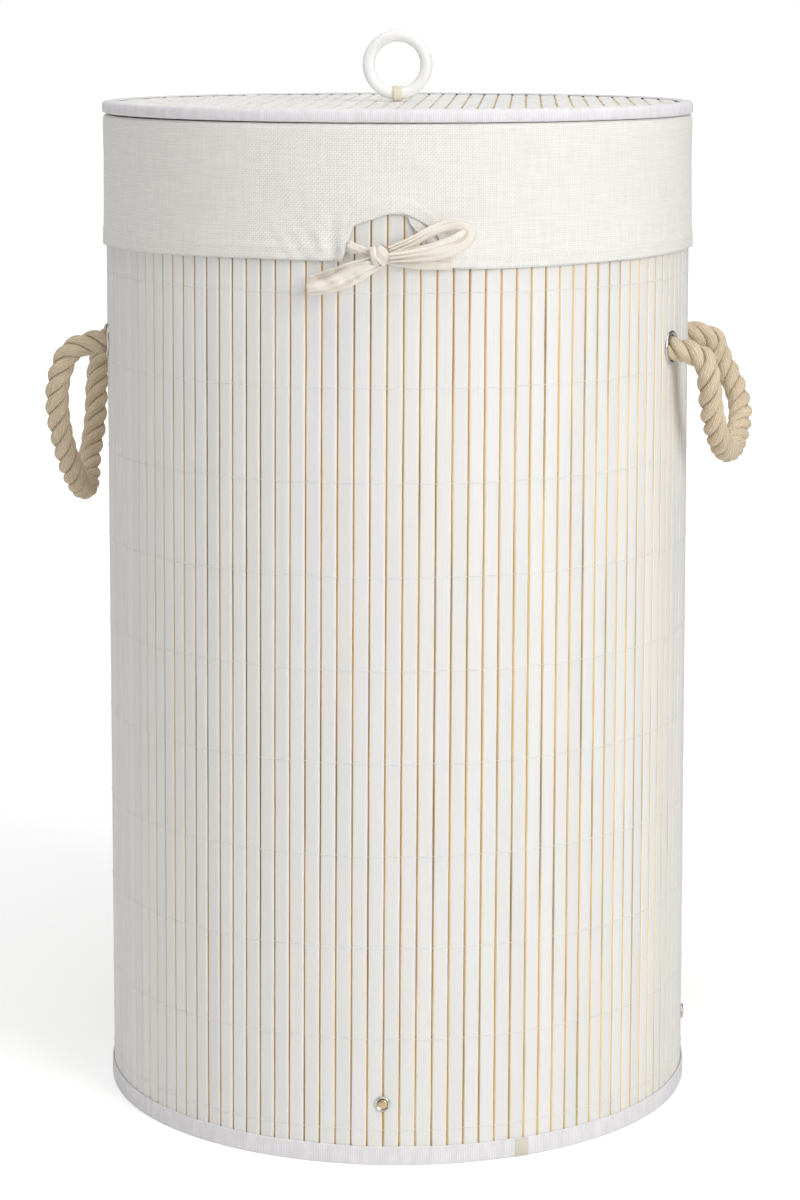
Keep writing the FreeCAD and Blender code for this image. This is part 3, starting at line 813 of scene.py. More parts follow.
class HAMPER_OT_rope_handles(bpy.types.Operator):
    """Three-strand cotton rope through the eyelets, with its knots inside"""

    bl_idname = "hamper.rope_handles"
    bl_label = "Rope handles"

    def execute(self, context):
        sizes = context.scene.hamper_sizes
        cotton = finishes()["cotton_rope"]
        for side, sign in SIDE_SIGN.items():
            front, rear = EYELET_AZIMUTHS[side]
            route = [around(front, KNOT_R, EYELET_Z), around(front, HINGE_R, EYELET_Z)]
            route += [Vector((sign * x, y, z)) for x, y, z in ROPE_ROUTES[side]]
            route += [around(rear, HINGE_R, EYELET_Z), around(rear, KNOT_R, EYELET_Z)]
            line = smooth_line(route, 20)

            bm = bmesh.new()
            for azimuth in (front, rear):
                lay_rope(bm, knot_line(azimuth), 0.0060, 0.026, 5 + sign, closed=True)
            knots = finish_piece(
                bm, f"{side}_rope_knots", "hamper", [cotton], [f"{side}_rope_ends"], "cotton_rope", sharp=0,
            )

            bm = bmesh.new()
            lay_rope(bm, line, sizes.rope_radius, sizes.rope_lay, 11 + sign)
            rope = finish_piece(
                bm, f"{side}_rope", "", [cotton], [f"{side}_handle_rope"], "cotton_rope", sharp=0,
            )
            around(front, 0.174, EYELET_Z)
            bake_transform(rope)
        return {"FINISHED"}


# ---- bow ----------------------------------------------------------------------------------------
def outward(point):
    return Vector((point.x, point.y, 0)).normalized()


def crumple(t, c, seed, size=0.0005):
    return size * noise.noise(Vector((t * 9 + seed, c * 1.6, seed * 3.1)))


def pleated(seed, depth, knot_ends=(True, True)):
    """Gathers that are deep where a tape goes into the knot and open out away from it."""

    def fold(t, c):
        near = 0.0
        if knot_ends[0]:
            near = max(near, 1 - smoothstep(0.0, 0.30, t))
        if knot_ends[1]:
            near = max(near, smoothstep(0.70, 1.0, t))
        wave = math.sin(3.1 * math.pi * c + seed) * depth * near
        crown = (1 - c * c) * depth * (0.55 + 0.3 * near)
        return c, wave + crown + crumple(t, c, seed)

    return fold


class HAMPER_OT_tie_bow(bpy.types.Operator):
    """The cuff's cotton tie, in a bow with one loop and one tail"""

    bl_idname = "hamper.tie_bow"
    bl_label = "Tie bow"

    def execute(self, context):
        cotton = finishes()["tie_cotton"]

        def tape(name, line, width, fold, replaced, across=12):
            bm = bmesh.new()
            lay_tape(bm, line, width, outward, fold, across)
            piece = finish_piece(
                bm, name, "liner", [cotton], [replaced], "tie_cotton", sharp=0, outward=False,
            )
            add_thickness(piece, 0.0007)
            add_smoothing(piece)
            return piece

        def tie_line(route, resolution):
            return smooth_line([by_the_tie(*point) for point in route], resolution)

        def left_width(t):
            return 0.0062 - 0.0022 * t

        def right_width(t):
            return 0.0052 + 0.0020 * smoothstep(0, 0.5, t)

        def tail_width(t):
            return 0.0072 + 0.0056 * smoothstep(0.0, 0.45, t) - 0.0022 * smoothstep(0.75, 1.0, t)

        def loop_width(t):
            back = 0.0050 + 0.0012 * smoothstep(0.05, 0.4, t)
            open_front = 0.0105 - 0.0045 * smoothstep(0.66, 1.0, t)
            return back + (open_front - back) * smoothstep(0.42, 0.58, t)

        def doubled(t, c):
            """The tail is folded double along its length, and its end gapes."""
            gape = 0.0006 + 0.0034 * smoothstep(0.30, 1.0, t)
            front = c > 0
            tall = 0.74 + 0.10 * math.sin(5 * t) if front else 1.0
            height = -1 + 2 * abs(c) * tall
            near = 1 - smoothstep(0.0, 0.4, t)
            wave = 0.0007 * near * math.sin(4.5 * math.pi * abs(c))
            lift = math.copysign(gape * math.sin(math.pi * 0.5 * min(1.0, abs(c) * 2.2)), c)
            return height, lift + wave + crumple(t, c, 4.4, 0.0011)

        left_fold = pleated(0.8, 0.0011, (False, True))
        right_fold = pleated(2.2, 0.0010, (True, False))
        pieces = [
            tape("bow_left_run", tie_line(BOW_LEFT_RUN, 10), left_width, left_fold, "tie_left_run"),
            tape("bow_right_run", tie_line(BOW_RIGHT_RUN, 12), right_width, right_fold, "tie_right_run"),
            tape("bow_tail", tie_line(BOW_TAIL, 12), tail_width, doubled, "tie_tail", across=28),
        ]

        bm = bmesh.new()
        middle = by_the_tie(*BOW_KNOT)
        out = outward(middle)
        up = Vector((0, 0, 1))
        right_way = up.cross(out).normalized()
        for vert in bmesh.ops.create_icosphere(bm, subdivisions=3, radius=1.0)["verts"]:
            x, y, z = vert.co
            vert.co = middle + right_way * x * 0.0042 + out * y * 0.0031 + up * z * 0.0042
        wraps = (
            ((0.62, -0.78), 0.0076, 0.0000, 0.0050, 0.0044, 1.0),
            ((0.20, -0.98), 0.0046, 0.0042, 0.0052, 0.0036, 2.6),
        )
        for (run, fall), wide, shift, tall, deep, seed in wraps:
            way = (right_way * run + up * fall).normalized()
            side = way.cross(out).normalized()
            centre = middle + side * shift

            def place(u, v, way=way, side=side, centre=centre, wide=wide, tall=tall, deep=deep, seed=seed):
                c = 2 * u - 1
                a = math.tau * v
                crown = 0.0007 * (1 - c * c) + 0.0003 * math.sin(7 * c + seed)
                narrow = 0.72 + 0.28 * abs(math.sin(a))
                return (
                    centre + way * (tall + crown) * math.cos(a) + out * (deep + crown) * math.sin(a)
                    + side * c * wide / 2 * narrow
                )

            made = laid_grid(bm, 8, 28, place, size=(wide, 0.03))
            bmesh.ops.remove_doubles(bm, verts=made, dist=1e-6)
        pieces.append(finish_piece(bm, "bow_knot", "liner", [cotton], ["tie_knot"], "tie_cotton", sharp=0))

        loop_line = tie_line(BOW_LOOP, 14)
        loop = tape("bow_loop", loop_line, loop_width, pleated(3.3, 0.0018), "tie_loop", across=14)
        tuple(loop_line[0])
        return {"FINISHED"}


# ---- wall ---------------------------------------------------------------------------------------
# One slat across its width: (sideways, forward) in millimetres, from its raw left edge round.
SLAT_OUTLINE = (
    (-4.42, 0.00), (-4.42, 0.55), (-3.86, 1.22), (-3.62, 1.48), (-1.90, 1.60), (1.90, 1.60),
    (3.35, 1.57), (3.80, 1.36), (4.20, 0.88), (4.20, 0.00),
)
RAW_LEFT = -3.80
RAW_RIGHT = 4.15


def lay_slat(bm, sizes, low, high, steps, rng, place):
    """One slat: its outline drawn out from low to high, a little uneven, with raw edges."""
    tone_layer = bm.verts.layers.float.get("tone") or bm.verts.layers.float.new("tone")
    before = set(bm.verts)
    wide = sizes.slat_width / 7.8
    deep = sizes.slat_thickness / 1.6
    verts = [bm.verts.new((x * wide, h * deep, low)) for x, h in SLAT_OUTLINE]
    edges = [bm.edges.new(pair) for pair in zip(verts, verts[1:] + verts[:1])]
    bmesh.ops.spin(
        bm, geom=verts + edges, cent=(0, 0, 0), axis=(0, 0, 1), dvec=(0, 0, (high - low) / steps),
        angle=0, steps=steps, use_merge=False,
    )
    made = [v for v in bm.verts if v not in before]
    faces = {f for v in made for f in v.link_faces}
    open_edges = list({e for v in made for e in v.link_edges if len(e.link_faces) == 1})
    faces |= set(bmesh.ops.holes_fill(bm, edges=open_edges, sides=0)["faces"])
    for face in faces:
        middle = face.calc_center_median()
        raw = middle.x < RAW_LEFT * wide or middle.x > RAW_RIGHT * wide or middle.y < 0.1 * deep
        face.material_index = 1 if raw else 0
    tone = rng.random()
    shift = rng.random() * 100
    knots = [low + (high - low) * rng.random() for _ in range(2)]
    chip_side = rng.choice((-1, 1, 1))
    for vert in made:
        x, h, z = vert.co
        side = -1 if x < 0 else 1
        wander = noise.noise(Vector((z * 22, shift, side * 7))) * sizes.slat_wander
        for knot in knots:
            near = math.exp(-(((z - knot) / 0.0075) ** 2))
            wander += near * 0.00016 * (chip_side if side < 0 else 0.6)
        lift = 0.00005 * noise.noise(Vector((z * 30, shift + 20, x * 300)))
        vert[tone_layer] = min(1.0, max(0.0, tone * 0.8 + 0.25 * noise.noise(Vector((z * 6, shift, 3.0)))))
        forward = h * (1 + 0.03 * math.sin(shift)) + lift * (h > 0)
        vert.co = place(x + wander * abs(x) / (4.0 * wide), forward, z)


class HAMPER_OT_wall_slats(bpy.types.Operator):
    """The slatted wall, its backing cloth and the tape on its seam"""

    bl_idname = "hamper.wall_slats"
    bl_label = "Wall slats"

    def execute(self, context):
        sizes = context.scene.hamper_sizes
        found = finishes()
        inner = sizes.wall_radius - sizes.slat_thickness
        per_sector = SLAT_COUNT // SECTORS
        rng = random.Random(40)
        holes = [a for pair in EYELET_AZIMUTHS.values() for a in pair]
        for sector in range(SECTORS):
            bm = bmesh.new()
            for k in range(per_sector):
                azimuth = FIRST_SLAT_AZIMUTH + SLAT_PITCH * (sector * per_sector + k + 0.5)

                def place(x, h, z, azimuth=azimuth):
                    turn = Matrix.Rotation(math.radians(azimuth + SLAT_LEAN * z), 3, "Z")
                    return turn @ Vector((x, -inner - h, z))

                lay_slat(bm, sizes, SLAT_FOOT_Z, SLAT_TOP_Z, 58, rng, place)
            name = f"{sector + 1:02d}"
            piece = finish_piece(
                bm, f"painted_slats_{name}", "hamper", [found["painted_wall_slats"], found["raw_bamboo"]],
                [f"wall_slats_{name}"], "painted_bamboo", sharp=32,
            )
            start = FIRST_SLAT_AZIMUTH + SLAT_PITCH * sector * per_sector
            for hole in holes:
                if (hole - start) % 360 < SLAT_PITCH * per_sector:
                    drill_hole(piece, hole)
        keep_node("wall_backing", found["backing_cloth"])
        keep_node("wall_seam_tape", found["lid_lining_cloth"])
        return {"FINISHED"}


def drill_hole(piece, azimuth):
    """Cuts the eyelet's hole through the slats."""
    bm = bmesh.new()
    bmesh.ops.create_cone(bm, cap_ends=True, segments=40, radius1=0.0082, radius2=0.0082, depth=0.02)
    bmesh.ops.transform(
        bm, matrix=turned_out(azimuth, EYELET_Z) @ Matrix.Translation((0, 0, 0.173)),
        verts=bm.verts,
    )
    mesh = bpy.data.meshes.new("drill")
    bm.to_mesh(mesh)
    bm.free()
    drill = bpy.data.objects.new("drill", mesh)
    bpy.context.scene.collection.objects.link(drill)
    cut = piece.modifiers.new("hole", "BOOLEAN")
    cut.operation = "DIFFERENCE"
    cut.solver = "EXACT"
    cut.object = drill
    bpy.context.view_layer.update()
    whole = bpy.data.meshes.new_from_object(piece.evaluated_get(bpy.context.evaluated_depsgraph_get()))
    piece.modifiers.clear()
    piece.data = whole
    bpy.data.objects.remove(drill)
    bpy.data.meshes.remove(mesh)


class HAMPER_OT_wall_stitching(bpy.types.Operator):
    """Rows of sewing thread across the slats, pulled in at each gap"""

    bl_idname = "hamper.wall_stitching"
    bl_label = "Wall stitching"

    def execute(self, context):
        sizes = context.scene.hamper_sizes
        found = finishes()
        bm = bmesh.new()
        face = sizes.wall_radius + 0.00004
        for row in range(THREAD_ROWS):
            level = FIRST_THREAD_Z + THREAD_ROW_PITCH * row

            def lay(u, v, row=row, level=level):
                azimuth = 360 * v
                from_gap = azimuth - FIRST_SLAT_AZIMUTH - SLAT_LEAN * level
                off = (from_gap + SLAT_PITCH / 2) % SLAT_PITCH - SLAT_PITCH / 2
                dip = 0.00050 * math.exp(-((off / 0.24) ** 2))
                drift = 0.0007 * math.sin(math.radians(azimuth * 3 + 77 * row))
                drift *= noise.noise(Vector((row * 5.0, 0, 1)))
                round_it = math.radians(azimuth)
                turned = Vector((math.cos(round_it) * 9, math.sin(round_it) * 9, row * 5.0))
                z = level + drift + 0.0006 * noise.noise(turned)
                angle = math.tau * u
                radius = face - dip + THREAD_R * math.cos(angle)
                return around(azimuth, radius, z + THREAD_R * math.sin(angle))

            made = laid_grid(bm, 4, 960, lay, size=(0.0014, 1.1))
            bmesh.ops.remove_doubles(bm, verts=made, dist=1e-7)
        finish_piece(
            bm, "wall_threads", "hamper", [found["sewing_thread"]], ["wall_stitching"],
            "sewing_thread", sharp=0,
        )
        return {"FINISHED"}


# ---- tapes --------------------------------------------------------------------------------------
def waver_edge(verts, low, high, amount, seed):
    """Lets a tape's edge wander up and down by hand."""
    for vert in verts:
        azimuth = math.atan2(vert.co.x, -vert.co.y)
        share = smoothstep(low, high, vert.co.z)
        vert.co.z += share * amount * noise.noise(Vector((azimuth * 9, seed, 0)))


def add_stitch(bm, place, along, out, length, thick):
    """One small stitch, a rounded bar along the edge."""
    made = bmesh.ops.create_icosphere(bm, subdivisions=2, radius=1.0)["verts"]
    other = along.cross(out).normalized()
    for vert in made:
        x, y, z = vert.co
        vert.co = place + along * x * length / 2 + out * y * thick / 2 + other * z * thick / 2


class HAMPER_OT_tapes(bpy.types.Operator):
    """Foot tape with its stitches and join, rim tape and the hoop in it"""

    bl_idname = "hamper.tapes"
    bl_label = "Tapes"

    def execute(self, context):
        found = finishes()
        bm = bmesh.new()
        outline = [
            (0.1701, 0.0000), (0.1749, 0.0000), (0.1752, 0.0012), (0.17525, 0.0060), (0.1751, 0.0104),
            (0.1747, 0.0109), (0.17425, 0.0108), (0.17415, 0.0011), (0.1707, 0.0011), (0.1707, 0.0110),
            (0.1701, 0.0110),
        ]
        made = spin_outline(bm, outline, 360, bevel=0.0003, segments=2)
        waver_edge(made, 0.008, 0.0105, 0.0004, 2.0)
        finish_piece(
            bm, "foot_tape", "hamper", [found["binding_tape"]], ["foot_binding"], "binding_tape",
            sharp=50,
        )

        bm = bmesh.new()
        verts = [
            bm.verts.new((r, 0, z))
            for r, z in ((0.1752, 0.0003), (0.17556, 0.0006), (0.17560, 0.0100), (0.1752, 0.0107))
        ]
        edges = [bm.edges.new(pair) for pair in zip(verts, verts[1:] + verts[:1])]
        bmesh.ops.rotate(
            bm, verts=verts, cent=(0, 0, 0),
            matrix=Matrix.Rotation(math.radians(30.4 - 90), 3, "Z"),
        )
        bmesh.ops.spin(
            bm, geom=verts + edges, cent=(0, 0, 0), axis=(0, 0, 1), angle=math.radians(2.6),
            steps=8, use_merge=False,
        )
        bmesh.ops.holes_fill(bm, edges=[e for e in bm.edges if len(e.link_faces) == 1], sides=0)
        finish_piece(bm, "foot_tape_join", "hamper", [found["join_tape"]], slot="binding_tape", sharp=50)

        bm = bmesh.new()
        for k in range(SLAT_COUNT):
            azimuth = FIRST_SLAT_AZIMUTH + SLAT_PITCH * k
            spot = around(azimuth, 0.17525, 0.0092 + 0.0003 * noise.noise(Vector((azimuth, 0, 0))))
            out = outward(spot)
            add_stitch(bm, spot, Vector((0, 0, 1)).cross(out), out, 0.0026, 0.0005)
        finish_piece(
            bm, "foot_tape_stitches", "hamper", [found["sewing_thread"]], slot="sewing_thread",
            sharp=0,
        )

        bm = bmesh.new()
        outline = [
            (0.1701, 0.5840), (0.17475, 0.5840), (0.17475, 0.5690), (0.17415, 0.5690),
            (0.17415, 0.5834), (0.1707, 0.5834), (0.1707, 0.5690), (0.1701, 0.5690),
        ]
        made = spin_outline(bm, outline, 300, bevel=0.00028, segments=3)
        waver_edge(made, 0.575, 0.569, 0.0004, 6.0)
        finish_piece(
            bm, "rim_tape", "hamper", [found["binding_tape"]], ["rim_binding"], "binding_tape",
            sharp=50,
        )
        keep_node("rim_hoop", found["hoop_wire"])
        return {"FINISHED"}


# ---- base ---------------------------------------------------------------------------------------
class HAMPER_OT_base(bpy.types.Operator):
    """Base board, and the screws in their dished cups"""

    bl_idname = "hamper.base"
    bl_label = "Base"

    def execute(self, context):
        found = finishes()
        keep_node("base_board", found["base_board_finish"])
        cup = [
            (0.0016, 0.1741), (0.0044, 0.1741), (0.00445, 0.1745), (0.0043, 0.1750), (0.0040, 0.17535),
            (0.0036, 0.17535), (0.0032, 0.1751), (0.0027, 0.1747), (0.0020, 0.17455), (0.0016, 0.17455),
        ]
        screw = [
            (0.0, 0.1473), (0.0015, 0.1480), (0.0015, 0.1746), (0.0026, 0.1750), (0.00265, 0.1752),
            (0.0022, 0.17548), (0.0012, 0.17566), (0.0, 0.1757),
        ]
        for name, outline, finish, node, slot in (
            ("screw_cups", cup, "eyelet_nickel", "base_screw_cups", "nickel"),
            ("cup_screws", screw, "screw_brass", "base_screws", "screw_brass"),
        ):
            bm = bmesh.new()
            for azimuth in SCREW_AZIMUTHS:
                spin_outline(bm, outline, 40, matrix=turned_out(azimuth, SCREW_Z))
            finish_piece(bm, name, "hamper", [found[finish]], [node], slot, sharp=50)
        return {"FINISHED"}


# ---- eyelets ------------------------------------------------------------------------------------
class HAMPER_OT_eyelets(bpy.types.Operator):
    """Nickel eyelets and the washers behind them"""

    bl_idname = "hamper.eyelets"
    bl_label = "Eyelets"

    def execute(self, context):
        nickel = finishes()["eyelet_nickel"]
        eyelet = [
            (0.00745, 0.1699), (0.0080, 0.1699), (0.0080, 0.1741), (0.0100, 0.1741), (0.01000, 0.1745),
            (0.0097, 0.1750), (0.0092, 0.1753), (0.0086, 0.17535), (0.0080, 0.1751), (0.0076, 0.1747),
            (0.00745, 0.1742),
        ]
        washer = [(0.00805, 0.1699), (0.0105, 0.1699), (0.0105, 0.1709), (0.00805, 0.1709)]
        for side, azimuths in EYELET_AZIMUTHS.items():
            for name, outline, bevel, node in (
                ("eyelets", eyelet, 0, "eyelets"), ("washers", washer, 0.0002, "eyelet_washers"),
            ):
                bm = bmesh.new()
                for azimuth in azimuths:
                    spin_outline(bm, outline, 56, bevel=bevel, matrix=turned_out(azimuth, EYELET_Z))
                finish_piece(
                    bm, f"{side}_nickel_{name}", "hamper", [nickel], [f"{side}_{node}"], "nickel",
                    sharp=60,
                )
        return {"FINISHED"}


# ---- liner --------------------------------------------------------------------------------------
LINER_ROWS = (("bag", 18), ("funnel", 10), ("neck", 3), ("fold", 10), ("cuff", 44))
LINER_COLUMNS = 440
BAG_R = 0.1452
BAG_FOOT_Z = 0.0432
BAG_TOP_Z = 0.466
NECK_R = 0.1692
NECK_Z = 0.560
PLEAT_DEPTH = 0.0045
# The facing's own edge inside the notch: (distance round from the tie's middle, height).
FACING_LINE = (
    (-0.0010, 0.5362), (0.0055, 0.5346), (0.0073, 0.5298), (0.0110, 0.5252),
    (0.0147, 0.5221), (0.0205, 0.5190), (0.0290, 0.5095),
)


def hem_height(round_by):
    """The cuff's lower edge, softened a little at its corners."""
    return sum(between(HEM_LINE, round_by + shift) for shift in (-0.0007, 0.0, 0.0007)) / 3


def cuff_relief(round_by, z, above):
    """How far the cuff stands off the wall, in metres."""
    off = 0.00034 * noise.noise(Vector((round_by * 26, z * 22, 1.0)))
    off += 0.00045 * noise.noise(Vector((round_by * 34, 5.0, 2.0))) * (1 - smoothstep(0.0, 0.035, above))
    low = 1 - smoothstep(0.004, 0.040, z - 0.5040)
    left = round_by + 0.0300
    off += low * 0.0024 * math.exp(-(((left - 0.0002) / 0.0030) ** 2))
    off -= low * 0.0010 * math.exp(-(((left + 0.0062) / 0.0030) ** 2))
    off += low * 0.0012 * math.exp(-(((left + 0.0125) / 0.0042) ** 2))
    flap = math.exp(-(((round_by - 0.0270) / 0.0130) ** 2))
    off += 0.0019 * flap * (1 - smoothstep(0.002, 0.045, z - 0.5040))
    pull = math.exp(-(((round_by - 0.045) / 0.022) ** 2)) * low
    off += 0.0004 * pull * math.sin((round_by - 0.6 * (z - 0.505)) * 620)
    pull = math.exp(-(((round_by + 0.050) / 0.020) ** 2)) * low
    off += 0.0003 * pull * math.sin((round_by + 0.7 * (z - 0.505)) * 560)
    crown = math.exp(-(((round_by - 0.001) / 0.020) ** 2)) * math.exp(-(((z - 0.5385) / 0.006) ** 2))
    return off + 0.0006 * crown


def liner_spot(sizes, round_by, row):
    """Radius, height and height above the hem of the liner's cloth."""
    angle = round_by / CUFF_R
    for kind, count in LINER_ROWS:
        if row <= count:
            break
        row -= count
    t = row / count
    if kind in ("bag", "funnel"):
        fold = 0.5 + 0.5 * math.sin(sizes.pleats * angle + 1.6 * noise.noise(Vector((angle * 3, 0, t))))
    if kind == "bag":
        radius = BAG_R - PLEAT_DEPTH * fold * smoothstep(0.0, 0.15, t)
        return radius, BAG_FOOT_Z + (BAG_TOP_Z - BAG_FOOT_Z) * t, 1.0
    if kind == "funnel":
        opened = (NECK_R - BAG_R) * (0.5 * t + 0.5 * smoothstep(0, 1, t))
        radius = BAG_R + opened - PLEAT_DEPTH * fold * (1 - t)
        return radius, BAG_TOP_Z + (NECK_Z - BAG_TOP_Z) * t, 1.0
    if kind == "neck":
        return NECK_R + 0.0003 * t, NECK_Z + (RIM_Z - NECK_Z) * t, 1.0
    if kind == "fold":
        turn = math.pi * t
        sign = 1 if turn < math.pi / 2 else -1
        radius = 0.17235 - 0.00285 * sign * abs(math.cos(turn)) ** 0.55
        return radius, RIM_Z + 0.0047 * math.sin(turn) ** 0.55, 1.0
    hem = hem_height(round_by)
    z = RIM_Z + (hem - RIM_Z) * t
    above = z - hem
    radius = 0.17520 - 0.00012 * smoothstep(0.575, 0.560, z) + 0.0004 * smoothstep(0.030, 0.0, above)
    radius += 0.00035 * (1 - smoothstep(0.0080, 0.0092, above))
    return max(0.17480, radius + cuff_relief(round_by, z, above) * smoothstep(0.578, 0.560, z)), z, above


class HAMPER_OT_liner(bpy.types.Operator):
    """One linen liner: bag, neck, fold over the rim and cuff with its notch"""

    bl_idname = "hamper.liner"
    bl_label = "Liner"

    def execute(self, context):
        sizes = context.scene.hamper_sizes
        found = finishes()
        rows = sum(count for _, count in LINER_ROWS)
        fold_end = rows - LINER_ROWS[-1][1]
        half = math.pi * CUFF_R
        lengths = [0.0]
        spots = [liner_spot(sizes, 0.12, row)[:2] for row in range(rows + 1)]
        for (r0, z0), (r1, z1) in zip(spots, spots[1:]):
            lengths.append(lengths[-1] + math.hypot(r1 - r0, z1 - z0))
        bm = bmesh.new()
        above_layer = bm.verts.layers.float.new("above_hem")
        by_place = {}

        def rounded(spot):
            return tuple(round(c, 7) for c in spot)

        def place(u, v):
            x = 2 * u - 1
            round_by = half * (0.34 * x + 0.66 * x ** 3)
            row = round(v * rows)
            radius, z, above = liner_spot(sizes, round_by, row)
            spot = by_the_tie(round_by, radius, z, CUFF_R)
            length = lengths[min(row, fold_end)] + (RIM_Z - z if row > fold_end else 0.0)
            by_place[rounded(spot)] = (above, round_by, length)
            return spot

        made = laid_grid(bm, LINER_COLUMNS, rows, place)
        cloth = bm.loops.layers.uv["cloth"]
        facts = {vert: by_place[rounded(vert.co)] for vert in made}
        for vert, (above, _, _) in facts.items():
            vert[above_layer] = above
        for face in bm.faces:
            rounds = [facts[loop.vert][1] for loop in face.loops]
            for loop, round_by in zip(face.loops, rounds):
                length = facts[loop.vert][2]
                if abs(round_by - rounds[0]) > half:
                    round_by += math.copysign(2 * half, rounds[0])
                loop[cloth].uv = (round_by, length)
        bmesh.ops.remove_doubles(bm, verts=bm.verts, dist=1e-6)
        liner = finish_piece(
            bm, "liner_cloth", "liner", [found["liner_linen"]], ["liner_side", "cuff_hem"],
            "liner_linen", sharp=0, outward=False,
        )
        add_thickness(liner, sizes.liner_cloth)

        bm = bmesh.new()

        def facing(u, v):
            round_by = -0.0010 + 0.0295 * u
            top = hem_height(round_by) + 0.0040
            low = between(FACING_LINE, round_by)
            z = top + (min(low, top - 0.0045) - top) * v
            curl = 0.0008 * v + 0.0003 * math.sin(u * 19)
            return by_the_tie(round_by, 0.17480 + 0.0002 + curl * 0.6, z, CUFF_R)

        laid_grid(bm, 26, 8, facing, size=(0.0295, 0.012))
        facing_piece = finish_piece(
            bm, "notch_turning", "liner", [found["facing_linen"]], ["notch_facing"], "liner_linen",
            sharp=0, outward=False,
        )
        add_thickness(facing_piece, 0.0005)

        bm = bmesh.new()
        top = [(0.02 * k + 0.005, 0.0427) for k in range(8)]
        outline = [(0.0, 0.0427), *top[:7], (0.1449, 0.0427), (0.1449, 0.0420), (0.0, 0.0420)]
        for vert in spin_outline(bm, outline, 120):
            if vert.co.z > 0.0424:
                vert.co.z += 0.0006 * noise.noise(vert.co * 40) - 0.0001
        base = finish_piece(
            bm, "liner_floor", "liner", [found["lid_lining_cloth"]], ["liner_base"], "liner_linen",
            sharp=50,
        )

        return {"FINISHED"}


# ---- lid ----------------------------------------------------------------------------------------
class HAMPER_OT_lid(bpy.types.Operator):
    """Slatted lid with its bound edge, stitching, board, lining, strap and button"""

    bl_idname = "hamper.lid"
    bl_label = "Lid"

    def execute(self, context):
        sizes = context.scene.hamper_sizes
        found = finishes()
        rng = random.Random(77)
        turn = Matrix.Rotation(math.radians(LID_TURN), 3, "Z")
        bm = bmesh.new()
        reach = 0.1730
        for k in range(-19, 20):
            middle = LID_PITCH * k

            def place(x, h, s, middle=middle):
                across = min(reach - 0.0002, abs(middle + x))
                end = math.sqrt(reach * reach - across * across)
                return turn @ Vector((middle + x, s * end, 0.5903 + h))

            lay_slat(bm, sizes, -1.0, 1.0, 24, rng, place)
        finish_piece(
            bm, "painted_lid_slats", "lid", [found["painted_lid_slats"], found["raw_bamboo"]],
            ["lid_slats"], "painted_bamboo", sharp=32,
        )

        bm = bmesh.new()
        outline = [
            (0.1675, 0.5854), (0.1740, 0.5854), (0.1752, 0.5857), (0.1758, 0.5864), (0.1760, 0.5880),
            (0.1760, 0.5900),
            (0.1757, 0.5917), (0.1749, 0.5926), (0.1735, 0.5929), (0.1700, 0.5927), (0.1678, 0.5925),
            (0.1675, 0.5921), (0.1735, 0.5920), (0.1750, 0.5910), (0.1750, 0.5862), (0.1675, 0.5860),
        ]
        for vert in spin_outline(bm, outline, 360):
            radius = vert.co.xy.length
            azimuth = math.degrees(math.atan2(vert.co.x, -vert.co.y))
            left = smoothstep(40, -80, azimuth) if azimuth > -150 else 0.3
            lift = smoothstep(0.1715, 0.1745, radius) * smoothstep(0.5890, 0.5862, vert.co.z)
            vert.co.z += 0.0006 * left * lift
        finish_piece(
            bm, "lid_tape", "lid", [found["binding_tape"]], ["lid_binding"], "binding_tape",
            sharp=55,
        )

        bm = bmesh.new()
        for across in (-0.13125, -0.07875, -0.02625, 0.02625, 0.07875, 0.13125):
            half = math.sqrt(0.1672 ** 2 - across ** 2)

            def lay(u, v, across=across, half=half):
                x = half * (2 * v - 1)
                off = (x + LID_PITCH / 2) % LID_PITCH - LID_PITCH / 2
                gap = LID_PITCH / 2 - abs(off)
                dip = 0.0005 * math.exp(-((gap / 0.0007) ** 2))
                angle = math.tau * u
                return turn @ Vector((
                    x, across + THREAD_R * math.cos(angle), 0.59196 - dip + THREAD_R * math.sin(angle),
                ))

            made = laid_grid(bm, 5, 360, lay, size=(0.0014, 2 * half))
            bmesh.ops.remove_doubles(bm, verts=made, dist=1e-7)
        finish_piece(
            bm, "lid_threads", "lid", [found["sewing_thread"]], ["lid_stitching"], "sewing_thread",
            sharp=0,
        )
        keep_node("lid_core", found["backing_cloth"])
        keep_node("lid_lining", found["lid_lining_cloth"])

        bm = bmesh.new()
        loop = 0.00445
        path = [(-0.0006, 0.5830), (-0.0006, 0.5875), (-0.0007, 0.5915)]
        path += [
            (loop * math.sin(a), RING_Z - loop * math.cos(a))
            for a in (math.radians(-16 - 328 * k / 24) for k in range(25))
        ]
        path += [(0.0007, 0.5915), (0.0006, 0.5875), (0.0006, 0.5830)]
        count = len(path) - 1

        def strap(u, v):
            y, z = path[round(v * count)]
            return turn @ Vector(((u - 0.5) * 0.0053, y, z))

        laid_grid(bm, 4, count, strap, size=(0.0053, 0.050))
        band = finish_piece(
            bm, "ring_band", "lid", [found["strap_cotton"]], ["ring_strap"], "strap_cotton",
            sharp=0, outward=False,
        )
        add_thickness(band, 0.0006)

        bm = bmesh.new()
        outline = [
            (0.0, 0.5828), (0.0060, 0.5828), (0.0074, 0.5833), (0.0080, 0.5842), (0.0080, 0.5853),
            (0.0, 0.5853),
        ]
        spin_outline(bm, outline, 64, bevel=0.0003)
        finish_piece(
            bm, "strap_stop", "lid", [found["button_finish"]], ["strap_button"], "strap_button",
            sharp=50,
        )
        return {"FINISHED"}


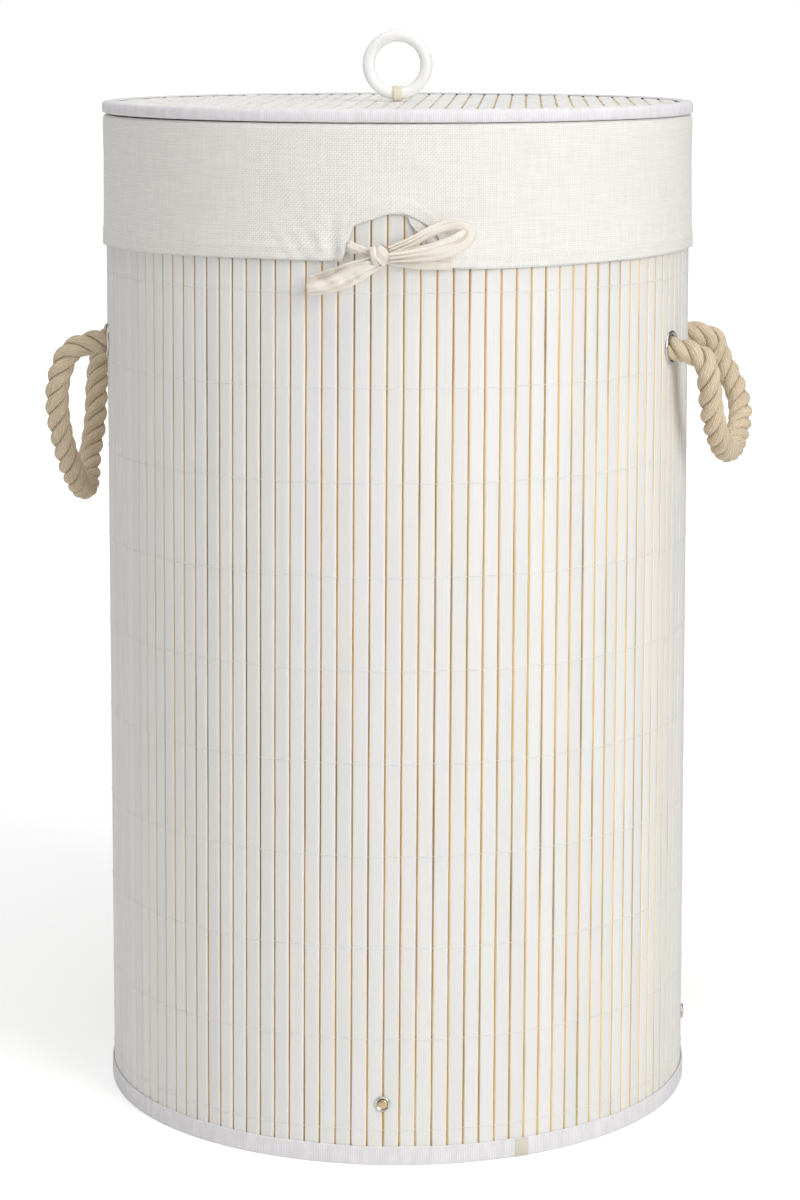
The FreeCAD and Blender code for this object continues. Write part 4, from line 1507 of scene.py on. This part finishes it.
class HAMPER_OT_pull_ring(bpy.types.Operator):
    """The painted pull ring"""

    bl_idname = "hamper.pull_ring"
    bl_label = "Pull ring"

    def execute(self, context):
        sizes = context.scene.hamper_sizes
        bm = bmesh.new()
        outline = [
            (sizes.ring_radius + sizes.ring_tube * math.cos(a), sizes.ring_tube * math.sin(a))
            for a in (math.tau * k / 28 for k in range(28))
        ]
        matrix = (
            Matrix.Translation((0, 0, RING_Z + sizes.ring_radius))
            @ Matrix.Rotation(math.radians(LID_TURN), 4, "Z")
            @ Matrix.Rotation(math.radians(90), 4, "X")
        )
        for vert in spin_outline(bm, outline, 120):
            vert.co *= 1 + 0.004 * noise.noise(vert.co * 60)
        bmesh.ops.transform(bm, matrix=matrix, verts=bm.verts)
        finish_piece(
            bm, "painted_ring", "ring", [finishes()["ring_paint"]], ["pull_ring"], "painted_wood",
            sharp=0,
        )
        return {"FINISHED"}


class HAMPER_PT_pieces(bpy.types.Panel):
    """Sizes, colours and pieces of the hamper"""

    bl_label = "Laundry Hamper"
    bl_idname = "HAMPER_PT_pieces"
    bl_space_type = "VIEW_3D"
    bl_region_type = "UI"
    bl_category = "Hamper"

    def draw(self, context):
        for group in (context.scene.hamper_sizes, context.scene.hamper_colours):
            box = self.layout.box()
            for name in group.__annotations__:
                box.prop(group, name)
        for operator in OPERATORS:
            self.layout.operator(operator.bl_idname)


OPERATORS = (
    HAMPER_OT_stage,
    HAMPER_OT_rope_handles,
    HAMPER_OT_tie_bow,
    HAMPER_OT_wall_slats,
    HAMPER_OT_wall_stitching,
    HAMPER_OT_tapes,
    HAMPER_OT_base,
    HAMPER_OT_eyelets,
    HAMPER_OT_liner,
    HAMPER_OT_lid,
    HAMPER_OT_pull_ring,
)
CLASSES = (HamperSizes, HamperColours, *OPERATORS, HAMPER_PT_pieces)


def register():
    for made in CLASSES:
        bpy.utils.register_class(made)
    bpy.types.Scene.hamper_sizes = PointerProperty(type=HamperSizes)
    bpy.types.Scene.hamper_colours = PointerProperty(type=HamperColours)


def unregister():
    del bpy.types.Scene.hamper_colours
    del bpy.types.Scene.hamper_sizes
    for made in reversed(CLASSES):
        bpy.utils.unregister_class(made)


def main():
    register()
    bpy.ops.hamper.stage()
    bpy.ops.hamper.rope_handles()
    bpy.ops.hamper.tie_bow()
    bpy.ops.hamper.wall_slats()
    bpy.ops.hamper.wall_stitching()
    bpy.ops.hamper.tapes()
    bpy.ops.hamper.base()
    bpy.ops.hamper.eyelets()
    bpy.ops.hamper.liner()
    bpy.ops.hamper.lid()
    bpy.ops.hamper.pull_ring()


if __name__ == "__main__":
    main()
